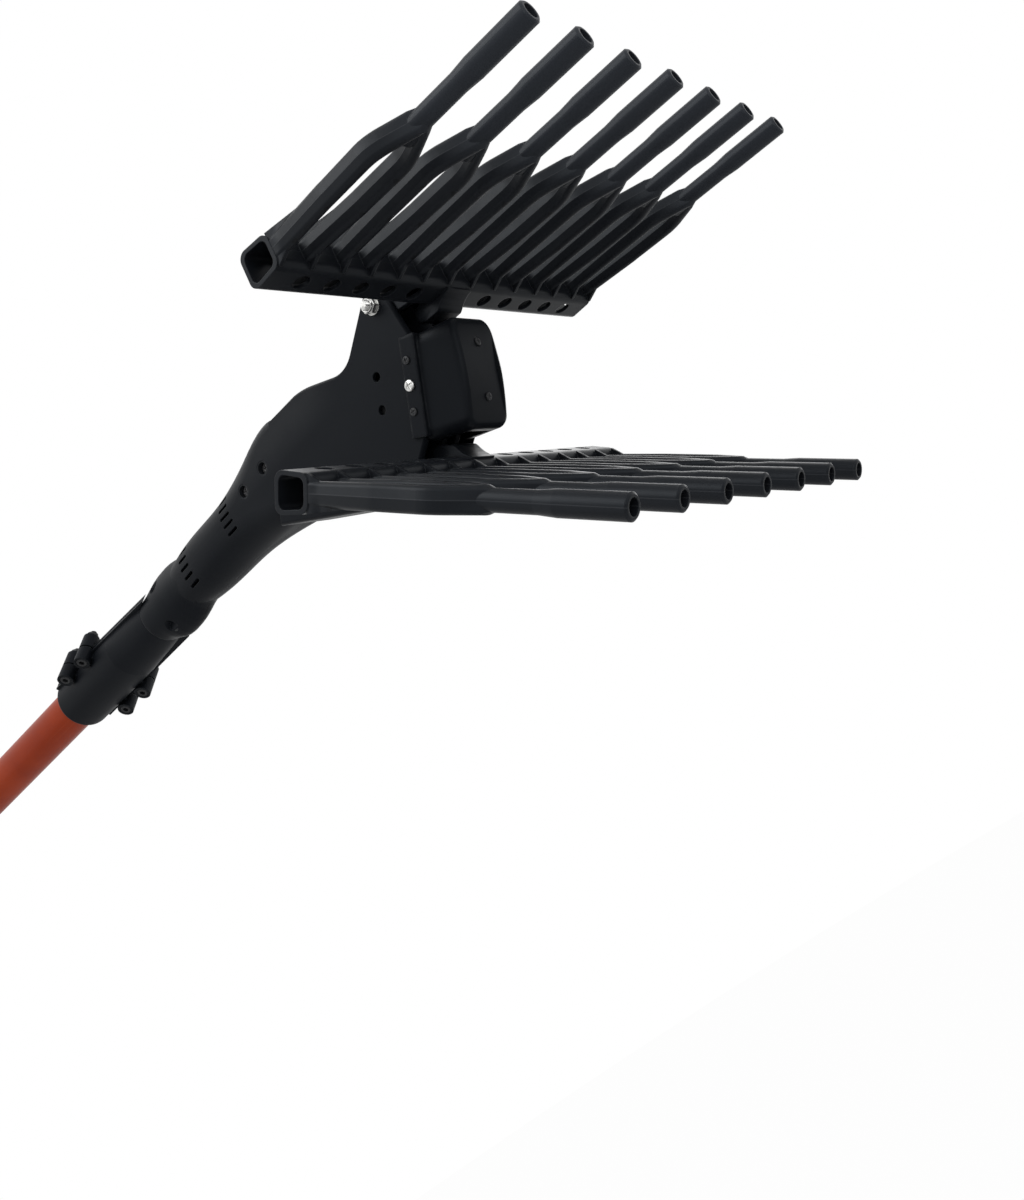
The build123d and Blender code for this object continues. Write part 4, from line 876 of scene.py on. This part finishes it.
def bendClamp(points):
    s = clampEndSet
    along, out = (points[:, 0] - clampRim[0]) / mm, points @ -clampAcross / mm
    atEnd = easeIn(along, s["from"], s["to"]) * (along < s["end"])
    tongue = easeIn(out, *s["flange"]) * atEnd
    longer = s["longer"] * atEnd + s["tongue"] * tongue
    inward = s["taper"] * tongue * easeIn(along, s["taperFrom"], s["taperTo"]) * out
    return points + (longer[:, None] * (1, 0, 0) + inward[:, None] * clampAcross) * mm


bentCopy("upperCombFull", "upper_comb", bendComb(1), "upper_comb")
bentCopy("lowerCombFull", "lower_comb", bendComb(-1), "lower_comb")
hubWeb("upperWeb", 1, webSet, "upperComb", "upper_comb")
hubWeb("lowerWeb", -1, webSet, "lowerComb", "lower_comb")
collarShell(collarSet)
bentCopy("housingHalfLeft", "housing_left", bendHousing, "head")
bentCopy("housingHalfRight", "housing_right", bendHousing, "head")
bentCopy("clampOuter", "clamp_half_outer", bendClamp, "head")
bentCopy("clampInner", "clamp_half_inner", bendClamp, "head")
bentCopy("coverBowed", "crank_cover", bendCover, "head")
print("combs, collar, neck, clamp and cover set")

# pale floor well below the tool, soft lamps, white surroundings
studioSet = {
    "floor": (1.0, 0.0, -1.6), "floorRadius": 9.0, "floorRings": 4, "floorSides": 64,
    "floorColor": (0.86, 0.86, 0.86, 1), "floorRough": 0.9, "floorWhite": 0.97, "ambient": 0.55,
    "lamps": {
        "key": {"at": (0.9, -1.6, 1.9), "size": 1.6, "power": 26.0},
        "fill": {"at": (2.9, -1.2, 0.3), "size": 1.4, "power": 12.0},
        "back": {"at": (0.9, 1.9, 0.9), "size": 1.6, "power": 14.0},
    },
    "aim": (1.32, 0.0, -0.03),
}


# flat disc: the radius grows along one parameter, the angle along the other
def layFloor(s):
    radius = np.linspace(0, s["floorRadius"], s["floorRings"])[:, None]
    angle = np.linspace(0, 2 * np.pi, s["floorSides"], endpoint=False)[None, :]
    flat = np.stack((radius * np.cos(angle), radius * np.sin(angle), 0 * radius * angle), -1)
    floor = ringPiece("paleFloor", flat[None] + s["floor"])
    material = bpy.data.materials.new("paleFloor")
    material.use_nodes = True
    tree = material.node_tree
    shader = tree.nodes["Principled BSDF"]
    shader.inputs["Base Color"].default_value = s["floorColor"]
    shader.inputs["Roughness"].default_value = s["floorRough"]
    seen = makeNode(tree, "ShaderNodeLightPath", out="Is Camera Ray")
    glow = makeNode(tree, "ShaderNodeEmission", None, {"Color": (1, 1, 1, 1)})
    lit = Wire(tree, shader.outputs[0])
    mixed = makeNode(tree, "ShaderNodeMixShader", None, {0: seen * s["floorWhite"], 1: lit, 2: glow})
    tree.links.new(mixed.socket, tree.nodes["Material Output"].inputs["Surface"])
    floor.data.materials.append(material)


def lightStudio(s):
    world = bpy.data.worlds.new("studio")
    bpy.context.scene.world = world
    world.use_nodes = True
    tree = world.node_tree
    path = tree.nodes.new("ShaderNodeLightPath")
    seen = Wire(tree, path.outputs["Is Camera Ray"]) + Wire(tree, path.outputs["Is Glossy Ray"])
    seen = (seen + Wire(tree, path.outputs["Is Transmission Ray"])).ramp(0.0, 1.0)
    back = tree.nodes["Background"]
    back.inputs["Color"].default_value = (1, 1, 1, 1)
    tree.links.new((s["ambient"] + (1 - s["ambient"]) * seen).socket, back.inputs["Strength"])
    for name, lamp in s["lamps"].items():
        data = bpy.data.lights.new(name, "AREA")
        data.size = lamp["size"]
        data.energy = lamp["power"]
        light = bpy.data.objects.new(name, data)
        bpy.context.scene.collection.objects.link(light)
        turn = (Vector(s["aim"]) - Vector(lamp["at"])).to_track_quat("-Z", "Y")
        light.matrix_world = Matrix.Translation(lamp["at"]) @ turn.to_matrix().to_4x4()


layFloor(studioSet)
lightStudio(studioSet)
bpy.context.scene.view_settings.view_transform = "Standard"
print("studio lit")
